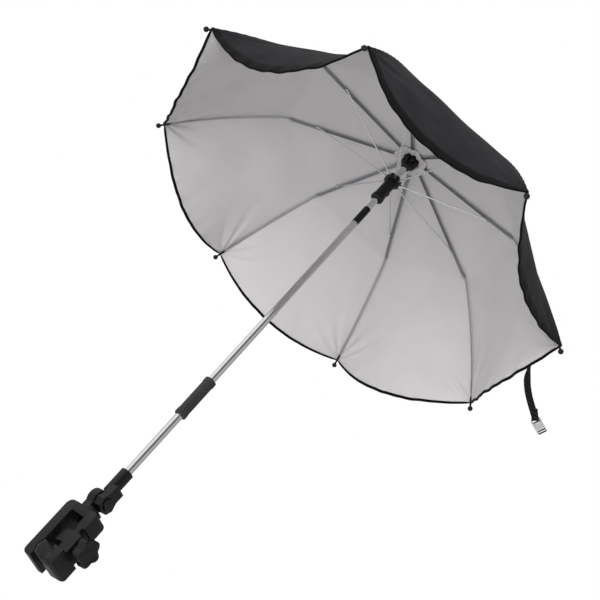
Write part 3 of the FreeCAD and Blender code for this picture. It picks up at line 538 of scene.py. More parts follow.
def unit(vectors):
    """The same vectors with length 1."""
    return vectors / np.maximum(np.linalg.norm(vectors, axis=-1, keepdims=True), 1e-12)


def distances(line):
    """How far along a line each of its points is."""
    return np.concatenate([[0], np.cumsum(np.linalg.norm(np.diff(line, axis=0), axis=1))])


def about_pole(points, azimuth):
    """Points turned about the pole by that angle."""
    c, s = math.cos(azimuth), math.sin(azimuth)
    return points @ np.array([[c, s, 0], [-s, c, 0], [0, 0, 1]])


def rib_azimuth(number):
    """Direction of a rib about the pole; the ribs count from 1."""
    return FIRST_RIB + (number - 1) * 2 * GORE_HALF


def smooth_step(x):
    """0 below 0, 1 above 1 and 3x^2 - 2x^3 between."""
    x = np.clip(x, 0, 1)
    return x * x * (3 - 2 * x)


def over_rib(s, cloth):
    """Radius and height of the cloth above a rib, s along it: straight over the channel, a short arc round
    the rod's elbow, then a long arc over its bow. All three run at the same lift above the rib's axis."""
    elbow_reach = cloth.elbow_radius + cloth.lift
    bow_reach = cloth.bow_radius + cloth.lift
    before = cloth.inset + cloth.channel
    elbow = np.clip((s - before) / elbow_reach, 0, cloth.elbow)
    bow = np.maximum((s - before) / bow_reach - cloth.elbow * elbow_reach / bow_reach, 0)
    along = (np.minimum(s, before) - cloth.inset + elbow_reach * np.sin(elbow)
             + bow_reach * (np.sin(cloth.elbow + bow) - math.sin(cloth.elbow)))
    up = (cloth.lift - elbow_reach * (1 - np.cos(elbow))
          - bow_reach * (math.cos(cloth.elbow) - np.cos(cloth.elbow + bow)))
    cosine, sine = math.cos(cloth.pitch), math.sin(cloth.pitch)
    return (cloth.pivot_radius + along * cosine + up * sine, cloth.hub_height - along * sine + up * cosine)


def cloth_length(cloth):
    """Length of the cloth along a rib, from its inner edge to the hem."""
    return (cloth.inset + cloth.channel + (cloth.elbow_radius + cloth.lift) * cloth.elbow
            + (cloth.bow_radius + cloth.lift) * cloth.bow - cloth.hem_clear)


CLOTH_ROWS = 160
CLOTH_COLUMNS = 97
# Power that crowds the columns of points towards the rib.
CROWDING = 1.25
# Creases that fan from a rib's tip: their angles, how far an angle may shift and how wide a crease is, all in
# radians, the distance from the tip where they are highest, and their heights; every other one is inward.
FAN_ANGLES = np.array([-0.95, -0.72, -0.5, -0.29, 0.27, 0.48, 0.7, 0.93])
FAN_SHIFT = 0.06
FAN_SPREAD = (0.09, 0.15)
FAN_REACH = 0.026
FAN_HEIGHTS = (0.6, 1.1)
FAN_INWARD = -0.8
FAN_SEED = 40
# How far the hem of each gore hangs, as a share of the usual sag, from the gore after rib 1 on.
GORE_SAG = np.array([1.2, 0.97, 0.84, 1.0, 1.04, 0.96, 1.0, 1.05])
# Long soft folds: turns per metre along x, y and z, phase and weight.
FOLD_WAVES = np.array([
    [7.1, 2.3, 3.9, 0.4, 1.0],
    [-3.2, 8.4, -4.4, 1.9, 0.9],
    [11.3, -6.1, 2.2, 4.1, 0.5],
    [4.4, 13.2, 6.3, 2.7, 0.45],
    [-15.1, 5.7, 9.2, 5.2, 0.3],
])
# The folds and the ripple fade out this near to the rib, and the folds this near to the crown.
HELD_BESIDE = 0.025
HELD_CROWN = 0.12
# Puckers of the seam over the rib: height, spacing, reach beside it, and where from the crown they are whole.
PUCKER_HEIGHT = 0.2 * MM
PUCKER_SPACING = 0.017
PUCKER_REACH = 0.006
PUCKER_CROWN = 0.05
# Ripple at the hem: height, two counts of waves round the canopy, and reach from the hem.
RIPPLE_HEIGHT = 0.6 * MM
RIPPLE_WAVES = (72, 40)
RIPPLE_REACH = 0.02


def gore_cloth(number, cloth):
    """Middle surface of one panel, its outward normals and its flat coordinates.

    u runs from the crown to the hem and across from -1 to 1, mid gore to mid gore over the rib. Beside the
    middle of its gore by v, a share of the way to a rib, a point lies at r cos h out along the gore's middle
    and v r sin h beside it, at height z, with r and z of the cloth above the rib and h half a gore's angle.
    Between the ribs the cloth hangs and is drawn in: both fall off as 1 - v^2 and grow as a power of u, a
    little differently in each gore.
    Along its normal it is then lifted by creases that fan from the tip, by long soft folds, by puckers at
    the seam and by a ripple at the hem.
    """
    share = np.linspace(-1, 1, CLOTH_COLUMNS)
    across = np.sign(share) * np.abs(share) ** CROWDING
    u = np.linspace(0, 1, CLOTH_ROWS)[:, None]
    s = u * cloth_length(cloth)
    radius, height = over_rib(s, cloth)
    v = 1 - np.abs(across)[None, :]
    gore_before, gore_after = GORE_SAG[number - 2], GORE_SAG[number - 1]
    drawn = (1 - v ** 2) * u ** cloth.draw_power * np.where(across < 0, gore_before, gore_after)
    out = radius * math.cos(GORE_HALF) - cloth.hem_draw * drawn
    beside = v * radius * math.sin(GORE_HALF)
    cosine, sine = math.cos(GORE_HALF), math.sin(GORE_HALF)
    flat = np.stack([out * cosine + beside * sine, np.sign(across) * (out * sine - beside * cosine),
                     height - cloth.hem_sag * drawn], axis=-1)
    base = about_pole(flat, rib_azimuth(number))
    normal = unit(np.cross(np.gradient(base, axis=0), np.gradient(base, axis=1)))

    width = np.linalg.norm(flat - flat[:, CLOTH_COLUMNS // 2, None], axis=-1) * np.sign(across)
    back = cloth_length(cloth) - s
    reach = np.hypot(back, width) + 1e-6
    angle = np.arctan2(width, np.maximum(back, 1e-6))
    draw = np.random.default_rng(FAN_SEED + number)
    count = len(FAN_ANGLES)
    rays = FAN_ANGLES + draw.uniform(-FAN_SHIFT, FAN_SHIFT, count)
    depth = draw.uniform(*FAN_HEIGHTS, count) * np.where(np.arange(count) % 2, 1, FAN_INWARD)
    spread = draw.uniform(*FAN_SPREAD, count)
    crease = (np.exp(-((angle[..., None] - rays) / spread) ** 2) * depth).sum(axis=-1)
    fan = crease * (reach / FAN_REACH) * np.exp(1 - reach / FAN_REACH) * (1 - across ** 2) ** 2

    held = 1 - np.exp(-(width / HELD_BESIDE) ** 2)
    phase = base @ FOLD_WAVES[:, :3].T * 2 * math.pi + FOLD_WAVES[:, 3]
    fold = (np.sin(phase) * FOLD_WAVES[:, 4]).sum(axis=-1) * held * smooth_step(s / HELD_CROWN)
    pucker = (PUCKER_HEIGHT * np.sin(2 * math.pi * s / PUCKER_SPACING) * np.exp(-np.abs(width) / PUCKER_REACH)
              * smooth_step(s / PUCKER_CROWN))
    turn = np.arctan2(base[..., 1], base[..., 0])
    waves = np.sin(turn * RIPPLE_WAVES[0]) + np.sin(turn * RIPPLE_WAVES[1] + 1)
    ripple = RIPPLE_HEIGHT * waves * np.exp(-back / RIPPLE_REACH) * held
    lift = cloth.fan_depth * fan + cloth.fold_depth * fold + pucker + ripple
    return base + normal * lift[..., None], normal, joined(width, s)


def ride_folding(piece, number):
    """The piece rides on its rib, with a mesh of its own."""
    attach(piece, "rib_%d" % number)
    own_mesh(piece)


# The hem's tape at a rib's tip: share of its width, least share of its thickness, and where it is whole.
HEM_NARROW = 0.45
HEM_THIN = 0.6
HEM_WHOLE = 0.014
# Points of the tape's section: on each line and round the edge.
HEM_LINE = 6
HEM_TURN = 9


def make_hem(number, middle, normal, cloth):
    """The tape folded over the hem: a section carried along it, narrower at the rib's tip.

    The section is a line on the outer face, a half circle round the edge and a shorter line on the inner
    face; it closes along the middle of the cloth. The lines follow the cloth's own rows.
    """
    edge = middle[-1]
    run = unit(np.gradient(edge, axis=0))
    inward = unit(np.cross(normal[-1], run))
    beside = np.linalg.norm(edge - edge[len(edge) // 2], axis=1)
    taper = HEM_NARROW + (1 - HEM_NARROW) * smooth_step(beside / HEM_WHOLE)
    thick = cloth.tape_thickness / 2
    turn = np.linspace(math.pi / 2, 3 * math.pi / 2, HEM_TURN)
    outer = np.linspace(cloth.tape_outside, 0, HEM_LINE)[:-1]
    inner = np.linspace(cloth.tape_inside, cloth.tape_outside, HEM_LINE)
    wide = np.concatenate([outer, thick * np.cos(turn), [cloth.tape_inside], inner])[::-1]
    high = np.concatenate([np.full_like(outer, thick), thick * np.sin(turn), [-thick],
                           np.zeros_like(inner)])[::-1]
    back = taper[:, None] * np.maximum(wide, 0) * (CLOTH_ROWS - 1) / cloth_length(cloth)
    row = np.floor(back).astype(int) + 1
    share = (row - back)[..., None]
    column = np.arange(CLOTH_COLUMNS)[:, None]
    base = middle[-row, column] * share + middle[-row - 1, column] * (1 - share)
    lift = normal[-row, column] * share + normal[-row - 1, column] * (1 - share)
    edgeways = inward[:, None] * (taper[:, None] * np.minimum(wide, 0))[..., None]
    upward = lift * ((HEM_THIN + (1 - HEM_THIN) * taper)[:, None] * high)[..., None]
    loops = base + edgeways + upward
    cut = joined(wide[None, :], distances(edge)[:, None])
    hem = new_piece("hem_tape_%d" % number, loops, loop_faces(*loops.shape[:2]), ["grosgrain_tape"], cut)
    ride_folding(hem, number)
    return hem


class PARASOL_OT_canopy(bpy.types.Operator):
    """Makes the canopy: eight panels of one sheet, black outside and silver inside, with a taped hem"""
    bl_idname = "parasol.canopy"
    bl_label = "Canopy and hem"

    def execute(self, context):
        cloth = context.scene.parasol_cloth
        for number in range(1, RIBS + 1):
            middle, normal, cut = gore_cloth(number, cloth)
            half = normal * cloth.thickness / 2
            panel = thin_piece("canopy_cloth_%d" % number, middle, half, cut, "black_polyester",
                               "silver_coated_polyester")
            hem = make_hem(number, middle, normal, cloth)
            ride_folding(panel, number)
            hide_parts("canopy_panel_%d" % number)
        return {"FINISHED"}


ROSETTE_ROWS = 26
ROSETTE_COLUMNS = 41
# The patch's wavy outer edge: height of its waves, their count round the pole and their phase.
PATCH_WAVE_HEIGHT = 1.6 * MM
PATCH_WAVES = 7
PATCH_PHASE = 0.6
# Its crinkles: height, and each wave's count round the pole, turn on its way outwards and weight.
CRINKLE_HEIGHT = 0.5 * MM
CRINKLE_WAVES = ((24, 14, 1.0), (40, -9, 0.7))
# Half width of its dip below a rib, its height over the ribs' axes between them, and its place on the flat
# cloth, clear of the stitches.
DIP_HALF = 0.0048
PATCH_LIFT = 1.2 * MM
PATCH_PLACE = 0.02


def sector(number, cloth):
    """One eighth of the patch: r from its inner to its outer edge and the angle about the pole, half a
    gore to each side. It lies just under the canopy between the ribs, dips below each rib as
    exp(-(width / w)^2), and is crinkled by waves that run outwards."""
    turn = np.linspace(-GORE_HALF, GORE_HALF, ROSETTE_COLUMNS)[None, :]
    around = turn + rib_azimuth(number)
    share = np.linspace(0, 1, ROSETTE_ROWS)[:, None]
    edge = cloth.rosette_radius + PATCH_WAVE_HEIGHT * np.sin(PATCH_WAVES * around + PATCH_PHASE)
    radius = cloth.rosette_hole + (edge - cloth.rosette_hole) * share
    width = radius * np.sin(turn)
    out = radius * np.cos(turn)
    axis_height = cloth.hub_height - (out - cloth.pivot_radius) * math.tan(cloth.pitch)
    dip = cloth.rosette_drop * np.exp(-(width / DIP_HALF) ** 2)
    waves = sum(weight * np.sin(count * around + lean * share) for count, lean, weight in CRINKLE_WAVES)
    height = axis_height + PATCH_LIFT - dip + waves * CRINKLE_HEIGHT * share
    points = about_pole(joined(out, width, height), rib_azimuth(number))
    along = np.linalg.norm(np.diff(points, axis=1), axis=-1).mean(axis=0)
    across = np.concatenate([[0], np.cumsum(along)])
    return points, joined(PATCH_PLACE + across[None, :], radius)


class PARASOL_OT_rosette(bpy.types.Operator):
    """Makes the crinkled patch of spare cloth that covers the inner ends of the ribs"""
    bl_idname = "parasol.rosette"
    bl_label = "Rosette"

    def execute(self, context):
        cloth = context.scene.parasol_cloth
        for number in range(1, RIBS + 1):
            middle, cut = sector(number, cloth)
            normal = unit(np.cross(np.gradient(middle, axis=0), np.gradient(middle, axis=1)))
            half = normal * cloth.thickness / 4
            patch = thin_piece("rosette_%d" % number, middle, half, cut, "silver_coated_polyester")
            ride_folding(patch, number)
        return {"FINISHED"}


# Sewn flat to the hem, the strap turns by this angle within this share of its fall.
STRAP_TURN = math.radians(-69)
STRAP_TURNED = 0.4
# Its bow: power, rough height of that curve, and the share of the bow that stands off the face.
BOW_POWER = 1.4
BOW_PEAK = 0.2
BOW_PROUD = 0.4
# Its end: steps round the tab's bar and back, length that comes back, and its gap in thicknesses.
LOOP_STEPS = 14
TAIL_STEPS = 24
TAIL = 16 * MM
TAIL_GAP = 1.08
# Its section: points across, and how late its edges thin.
STRAP_ACROSS = 9
STRAP_THINNING = 6
# The tab: its lean to the strap, places of its bars and plate along it, the plate's thickness and its ribs'
# height as shares of the bars' radius, and their count.
TAB_LEAN = math.radians(24)
TAB_BARS = (0, 0.2, 0.84, 1)
TAB_PLATE = (0.27, 0.76)
PLATE_HALF = 0.55
PLATE_RIB = 0.14
PLATE_RIBS = 4
# A bar of the tab: points along and round it, how square it is, and where and how much its ends round off.
BAR_STEPS = 33
BAR_ROUND = 24
BAR_SQUARE = 0.7
BAR_END = 0.06
BAR_ROUNDING = 0.75


def hanging(cloth):
    """Where the strap leaves the hem, the direction it falls in and the level direction along the hem."""
    edge = gore_cloth(STRAP_RIB, cloth)[0][-1, CLOTH_COLUMNS // 2:]
    azimuth = rib_azimuth(STRAP_RIB) + GORE_HALF
    level = np.array([-math.sin(azimuth), math.cos(azimuth), 0])
    out = np.array([math.cos(azimuth), math.sin(azimuth), 0])
    beside = edge @ level
    start = np.stack([np.interp(-cloth.strap_offset, beside, edge[:, axis]) for axis in range(3)])
    fall = out * math.cos(cloth.strap_slope) - np.array([0, 0, 1]) * math.sin(cloth.strap_slope)
    return start, fall, level


def strap_path(start, fall, level, aside, facing, proud, cloth):
    """Middle line of the strap and its direction across.

    It falls along a line bowed aside as t (1 - t)^1.4, turns about that line, goes round the tab's first
    bar in half a circle and comes back a little way along itself.
    """
    t = np.linspace(0, 1, STRAP_STEPS)[:, None]
    bowed = cloth.strap_bow * t * (1 - t) ** BOW_POWER / BOW_PEAK
    run = start + fall * t * cloth.strap_length + facing * bowed + proud * BOW_PROUD * bowed
    angle = STRAP_TURN * smooth_step(t / STRAP_TURNED)
    spread = level * np.cos(angle) + aside * np.sin(angle)
    bar = cloth.bar_radius + cloth.strap_thickness / 2
    half = np.linspace(0, math.pi, LOOP_STEPS)[1:, None]
    end = run[-1]
    loop = end + fall * bar * np.sin(half) - proud * bar * (1 - np.cos(half))
    back = np.linspace(0, 1, TAIL_STEPS)[1:, None]
    gap = 2 * bar + (cloth.strap_thickness * TAIL_GAP - 2 * bar) * smooth_step(back / 0.5)
    tail = end - fall * TAIL * back - proud * gap
    path = np.concatenate([run, loop, tail])
    return path, np.concatenate([spread, np.broadcast_to(facing, (len(path) - len(run), 3))])


def make_ribbon(path, spread, cloth):
    """The strap: a flat band with rounded edges carried along its path."""
    along = unit(np.gradient(path, axis=0))
    across = unit(spread - along * (spread * along).sum(axis=1)[:, None])
    normal = np.cross(across, along)
    share = np.linspace(-1, 1, STRAP_ACROSS)
    half = cloth.strap_thickness / 2 * (1 - 0.5 * np.abs(share) ** STRAP_THINNING)
    beside = share * cloth.strap_width / 2
    middle = path[:, None] + across[:, None] * beside[:, None]
    lift = normal[:, None] * half[:, None]
    cut = joined(beside[None, :], distances(path)[:, None])
    return thin_piece("tie_webbing", middle, -lift, cut, "polypropylene_webbing")


def make_tab(path, fall, facing, proud, cloth):
    """The tab: two rails, two bars at each end and a ribbed plate, each an oval bar along a line."""
    bar = cloth.bar_radius
    hinge = path[STRAP_STEPS - 1] - proud * (bar + cloth.strap_thickness / 2)
    forward = fall * math.cos(TAB_LEAN) - facing * math.sin(TAB_LEAN)
    beside = np.cross(proud, forward)
    half_wide = cloth.tab_width / 2 - bar
    long = cloth.tab_length - 2 * bar
    step = np.linspace(0, 1, BAR_STEPS)
    even = np.full_like(step, bar)
    rails = [(long * step, np.full_like(step, side * half_wide), even, even) for side in (-1, 1)]
    bars = [(np.full_like(step, at * long), half_wide * (2 * step - 1), even, even) for at in TAB_BARS]
    first, last = TAB_PLATE[0] * long, TAB_PLATE[1] * long
    ribbed = bar * (PLATE_HALF + PLATE_RIB * np.sin(2 * math.pi * PLATE_RIBS * step))
    plate = (first + (last - first) * step, np.zeros_like(step), np.full_like(step, half_wide), ribbed)
    turn = np.linspace(2 * math.pi, 0, BAR_ROUND, endpoint=False)
    round_wide = np.sign(np.cos(turn)) * np.abs(np.cos(turn)) ** BAR_SQUARE
    round_high = np.sign(np.sin(turn)) * np.abs(np.sin(turn)) ** BAR_SQUARE
    past = np.clip(np.abs(2 * step - 1) - (1 - BAR_END), 0, 1) / BAR_END
    ends = np.sqrt(1 - past ** 2 * BAR_ROUNDING)[:, None]
    points, faces, kinds, start = [], [], [], 0
    for along, aside, wide, high in (*rails, *bars, plate):
        centre = hinge + along[:, None] * forward + aside[:, None] * beside
        across = np.cross(proud, unit(np.gradient(centre, axis=0)))
        loops = (centre[:, None] + across[:, None] * (ends * wide[:, None] * round_wide)[..., None]
                 + proud * (ends * high[:, None] * round_high)[..., None])
        points.append(loops.reshape(-1, 3))
        faces += [[start + corner for corner in face] for face in loop_faces(*loops.shape[:2])]
        kinds += [int(np.ptp(along) == 0)] * (len(faces) - len(kinds))
        start += len(points[-1])
    # The bars of the tab are drawn in a darker colour than the clear tab.
    both = ["clear_polypropylene", "crimped_tab_bars"]
    return new_piece("tie_tab", np.concatenate(points), faces, both, kinds=kinds)


class PARASOL_OT_strap(bpy.types.Operator):
    """Makes the tie strap that hangs from the hem and the moulded tab at its end"""
    bl_idname = "parasol.strap"
    bl_label = "Tie strap"

    def execute(self, context):
        cloth = context.scene.parasol_cloth
        raise_if_missing("tie_strap", "strap_tab")
        start, fall, level = hanging(cloth)
        aside = np.cross(fall, level)
        facing = level * math.cos(STRAP_TURN) + aside * math.sin(STRAP_TURN)
        proud = np.cross(facing, fall)
        path, spread = strap_path(start, fall, level, aside, facing, proud, cloth)
        strap = make_ribbon(path, spread, cloth)
        tab = make_tab(path, fall, facing, proud, cloth)
        for piece, node in ((strap, "tie_strap"), (tab, "strap_tab")):
            ride_folding(piece, STRAP_RIB)
            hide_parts(node)
        return {"FINISHED"}


def raise_if_missing(*names):
    """Stops with an error if the frame lacks one of these nodes."""
    missing = [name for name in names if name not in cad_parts]
    if missing:
        raise RuntimeError("the frame has no " + ", ".join(missing))


def dress(finish, *names):
    """Gives CAD nodes that finish."""
    raise_if_missing(*names)
    for name in names:
        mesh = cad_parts[name].data
        mesh.materials.clear()
        mesh.materials.append(finish_of(finish))


# Points this near are merged, faces this near to level are joined, and edges this sharp are rounded.
MERGE = 1e-6
LEVEL = math.radians(0.5)
SHARP = math.radians(35)


def soften(node, body, finish, width, cuts=(), shape=None):
    """Stands in for a CAD node: a copy of its mesh, merged and smooth, its sharp edges rounded by that width.

    Cuts, each an axis and a place along it, give the copy more points, and shape then moves its points.
    """
    raise_if_missing(node)
    copy = bmesh.new()
    copy.from_mesh(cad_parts[node].data)
    bmesh.ops.remove_doubles(copy, verts=copy.verts, dist=MERGE)
    bmesh.ops.dissolve_limit(copy, angle_limit=LEVEL, verts=copy.verts, edges=copy.edges)
    for axis, place in cuts:
        across = Vector((0, 0, 0))
        across[axis] = 1
        every = copy.verts[:] + copy.edges[:] + copy.faces[:]
        bmesh.ops.bisect_plane(copy, geom=every, dist=MERGE, plane_co=across * place, plane_no=across)
    mesh = bpy.data.meshes.new(node + "_smooth")
    copy.to_mesh(mesh)
    copy.free()
    if shape:
        points = np.empty(3 * len(mesh.vertices), np.float32)
        mesh.vertices.foreach_get("co", points)
        mesh.vertices.foreach_set("co", shape(points.reshape(-1, 3)).astype(np.float32).ravel())
    mesh.materials.clear()
    mesh.materials.append(finish_of(finish))
    mesh.polygons.foreach_set("material_index", np.zeros(len(mesh.polygons), np.int32))
    mesh.polygons.foreach_set("use_smooth", np.ones(len(mesh.polygons), bool))
    piece = bpy.data.objects.new(node + "_smooth", mesh)
    bpy.context.scene.collection.objects.link(piece)
    edges = piece.modifiers.new("rounded edges", "BEVEL")
    edges.width = width * MM
    edges.segments = 3
    edges.angle_limit = SHARP
    edges.harden_normals = True
    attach(piece, body)
    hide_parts(node)


class PARASOL_OT_ribs(bpy.types.Operator):
    """Finishes the ribs, their tips and the stretchers"""
    bl_idname = "parasol.ribs"
    bl_label = "Ribs and stretchers"

    def execute(self, context):
        for number in range(1, RIBS + 1):
            dress("zinc_plated_rib_steel", "rib_%d" % number)
            dress("drawn_steel_wire", "stretcher_%d" % number)
            dress("moulded_nylon_tips", "rib_tip_%d" % number)
        return {"FINISHED"}


class PARASOL_OT_pole(bpy.types.Operator):
    """Finishes the three tubes, the ferrule, the stop pin and the joining sleeve"""
    bl_idname = "parasol.pole"
    bl_label = "Pole"

    def execute(self, context):
        tubes = {"upper_tube": "upper_pole", "middle_tube": "middle_pole", "lower_tube": "arm"}
        for node, body in tubes.items():
            soften(node, body, "chrome_plated_tube", 0.12)
        dress("zinc_plated_steel", "stop_pin")
        dress("moulded_abs", "ferrule")
        soften("joint_sleeve", "middle_pole", "moulded_nylon_sleeve", 0.5)
        return {"FINISHED"}


class PARASOL_OT_hub(bpy.types.Operator):
    """Finishes the crown, its cap and pins, and the runner with its pins and button"""
    bl_idname = "parasol.hub"
    bl_label = "Crown and runner"

    def execute(self, context):
        dress("moulded_abs", "crown_cap", "runner_button")
        soften("crown", "upper_pole", "moulded_abs", 0.35)
        soften("runner", "runner", "moulded_abs", 0.4)
        dress("zinc_plated_steel", "crown_pins", "runner_pins")
        return {"FINISHED"}


class PARASOL_OT_arm(bpy.types.Operator):
    """Finishes the tilting arm, its knuckle, axle and button"""
    bl_idname = "parasol.arm"
    bl_label = "Tilting arm"

    def execute(self, context):
        soften("pole_arm", "arm", "moulded_abs", 1.2)
        soften("swivel_knuckle", "knuckle", "moulded_abs", 1.0)
        soften("tilt_button", "tilt_button", "moulded_abs", 1.0)
        dress("zinc_plated_steel", "tilt_axle")
        dress("blackened_steel", "swivel_screw")
        return {"FINISHED"}


# Levels, as shares of the moving jaw's rounded corners, where its copy gets points.
CORNER_LEVELS = np.linspace(0.15, 1, 6)
# The star knob: points round it, lobes and their sharpness, chamfer, flare and straight share of its neck,
# and steps of the lobes' rounding.
KNOB_POINTS = 240
KNOB_LOBES = 5
LOBE_POWER = 0.85
NECK_CHAMFER = 0.6 * MM
NECK_FLARE = 1 * MM
NECK_STRAIGHT = 0.8
LOBE_STEPS = 7
# Its dished face: distance behind the front in millimetres, share of the lobes' reach, and share of the star.
KNOB_DISH = ((0, 0.78, 0.9), (0.4, 0.74, 0.85), (1.1, 0.7, 0.8), (1.4, 0.6, 0.6))
# The round boss in the dish: distance behind the front and radius in millimetres.
KNOB_BOSS = ((1.4, 6.6), (1.1, 6.2), (0.6, 5.8), (0.4, 5), (0.3, 1))


def narrow_hook(points, clamp):
    """The fixed jaw's x times a share that falls evenly from 1 at its back to the hook's at its hook."""
    share = np.clip((clamp.back_inner - points[:, 1]) / (clamp.back_inner + clamp.hook_inner), 0, 1)
    points[:, 0] *= 1 - share * (1 - clamp.hook_half / clamp.jaw_half)
    return points


def round_jaw(points, clamp):
    """The moving jaw's x drawn in by c - sqrt(c^2 - d^2), d below the start of its lower corners'
    rounding c, and its top made as narrow as the hook."""
    below = np.clip(clamp.corner - clamp.jaw_bottom - points[:, 2], 0, clamp.corner)
    drawn = clamp.corner - np.sqrt(clamp.corner ** 2 - below ** 2)
    points[:, 0] *= 1 - drawn / clamp.jaw_half
    top = points[:, 2] > clamp.neck_height
    points[top, 0] = np.clip(points[top, 0], -clamp.hook_half, clamp.hook_half)
    return points


def make_knob(clamp):
    """The star knob: loops r(angle) about the bolt, one after the other along it.

    A share f of each loop is the star and 1 - f a circle:
    r = (1 - f) R + f (valley + rise (1/2 + cos(5 angle)/2)^0.85).
    The loops run from the bottom of the bolt's hole out along it, over the neck, the lobes and the dished
    face.
    """
    raise_if_missing("star_knob")
    hole, bush, neck = clamp.hole_radius, clamp.bush_radius, clamp.neck_radius
    front, rim = clamp.knob_length, clamp.edge
    bend = np.linspace(math.pi / 2, 0, LOBE_STEPS)
    # Each loop's distance along the bolt, its radius or share of the lobes' reach, and share of the star.
    inside = [(clamp.hole_depth, hole, 0), (clamp.bush_length, hole, 0), (clamp.bush_length, bush, 0),
              (0, bush, 0)]
    outside = [(0, neck - NECK_CHAMFER, 0), (NECK_CHAMFER, neck, 0),
               (clamp.neck_length * NECK_STRAIGHT, neck, 0), (clamp.neck_length, neck + NECK_FLARE, 0)]
    rounding = rim / clamp.lobe
    back_edge = [(clamp.neck_length + rim * (1 - math.sin(b)), 1 - rounding * (1 - math.cos(b)), 1)
                 for b in bend]
    face_edge = [(front - rim * (1 - math.cos(b)), 1 - rounding * (1 - math.sin(b)), 1) for b in bend]
    dish = [(front - behind * MM, reach, share) for behind, reach, share in KNOB_DISH]
    boss = [(front - behind * MM, reach * MM, 0) for behind, reach in KNOB_BOSS]
    loops = inside + outside + back_edge + face_edge + dish + boss
    turn = np.linspace(0, 2 * math.pi, KNOB_POINTS, endpoint=False)
    rise = (0.5 + 0.5 * np.cos(KNOB_LOBES * turn)) ** LOBE_POWER
    lobes = clamp.valley + (clamp.lobe - clamp.valley) * rise
    rows = []
    for along, reach, share in loops:
        circle = reach * (clamp.valley + clamp.lobe) / 2 if share else reach
        radius = (1 - share) * circle + share * reach * lobes
        rows.append(np.stack([radius * np.sin(turn), np.full_like(turn, -clamp.knob_back - along),
                              clamp.bolt_height + radius * np.cos(turn)], axis=-1))
    points = np.stack(rows)
    faces = loop_faces(*points.shape[:2])
    knob = new_piece("star_knob_moulding", points, faces, ["moulded_abs"], crease=math.radians(40))
    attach(knob, "knob")
    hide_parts("star_knob")


class PARASOL_OT_clamp(bpy.types.Operator):
    """Finishes the clamp's jaws, pads, bolt, washer and knob"""
    bl_idname = "parasol.clamp"
    bl_label = "Clamp"

    def execute(self, context):
        clamp = context.scene.parasol_clamp
        soften("fixed_jaw", "clamp", "moulded_abs", 2.0,
               cuts=[(1, -clamp.hook_inner), (1, clamp.back_inner)],
               shape=lambda points: narrow_hook(points, clamp))
        levels = clamp.corner * CORNER_LEVELS - clamp.jaw_bottom
        soften("moving_jaw", "moving_jaw", "moulded_abs", 1.8,
               cuts=[(2, level) for level in (*levels, clamp.neck_height)],
               shape=lambda points: round_jaw(points, clamp))
        make_knob(clamp)
        dress("zinc_plated_steel", "clamp_bolt", "clamp_washer")
        dress("turned_brass", "knob_insert")
        dress("moulded_rubber", "fixed_pad", "moving_pad")
        return {"FINISHED"}


# Where the photograph was taken from: place in metres, and the directions of its view and of its upper edge.
CAMERA_AT = Vector((-1.13316, -1.13764, -0.39279))
CAMERA_VIEW = Vector((0.618989, 0.608422, 0.496664))
CAMERA_UP = Vector((-0.732182, 0.218203, 0.645211))
# Lamps: place, the point each faces, and width of its square, all in metres.
KEY_LAMP = ((-2.3, -1.1, 0.15), (0.05, 0.05, 0.74), 1.8)
TOP_LAMP = ((-0.6, -0.9, 2.6), (0, 0, 0.5), 1.6)
# Greys of the room for gloss, by heading, from 0 away from the photographer to 1 towards them.
ROOM_ENDS = ((0, (0.42, 0.42, 0.43, 1)), (1, (0.2, 0.2, 0.21, 1)))
ROOM_GREYS = ((0.16, 0.34), (0.34, 1.0), (0.93, 1.0), (0.972, 0.16))
# Its right side as a share of its left, and where the one gives way to the other.
ROOM_RIGHT = 0.5
ROOM_TURN = 0.7
FLOOR_POINTS = 9


def make_floor(stage):
    """A level sheet of paper: height the same all over a grid."""
    line = np.linspace(-stage.floor_size, stage.floor_size, FLOOR_POINTS)
    x, y = np.meshgrid(line, line, indexing="ij")
    points = np.stack([x, y, np.full_like(x, stage.floor_height)], axis=-1)
    floor = new_piece("floor", points, quads(FLOOR_POINTS, FLOOR_POINTS).tolist(), ["matt_paper_floor"])


def make_world(context, stage):
    """White where the camera, gloss and clear parts look at it, and an even soft light elsewhere.

    For gloss the white room has two darker openings, one behind the photographer and a wide one opposite,
    which give plated tubes their dark middle line and edges, and its right side is darker than its left.
    """
    world = bpy.data.worlds.new("studio")
    world.use_nodes = True
    context.scene.world = world
    tree = world.node_tree
    rays = add(tree, "LightPath").outputs
    level = vectors(tree, "MULTIPLY", add(tree, "TexCoord").outputs["Generated"], (1, 1, 0))[0]
    heading = vectors(tree, "NORMALIZE", level)[0]
    toward = Vector((-CAMERA_VIEW.x, -CAMERA_VIEW.y, 0)).normalized()
    facing = vectors(tree, "DOT_PRODUCT", heading, toward)["Value"]
    greys = [(spot, (grey, grey, grey, 1)) for spot, grey in ROOM_GREYS]
    room = ramp(tree, mapped(tree, facing, -1.0, 1.0), *ROOM_ENDS, *greys)
    leftward = Vector((toward.y, -toward.x, 0))
    beside = vectors(tree, "DOT_PRODUCT", heading, leftward)["Value"]
    shade = mapped(tree, beside, -ROOM_TURN, ROOM_TURN, ROOM_RIGHT)
    sided = add(tree, "VectorMath", {0: room, "Scale": shade}, operation="SCALE").outputs[0]
    seen = maths(tree, "MAXIMUM", rays["Is Camera Ray"], rays["Is Glossy Ray"])
    clear = maths(tree, "MAXIMUM", seen, rays["Is Transmission Ray"])
    fill(tree.nodes["Background"], {
        "Color": blended(tree, rays["Is Glossy Ray"], (1, 1, 1, 1), sided),
        "Strength": mapped(tree, clear, 0.0, 1.0, stage.ambient),
    })


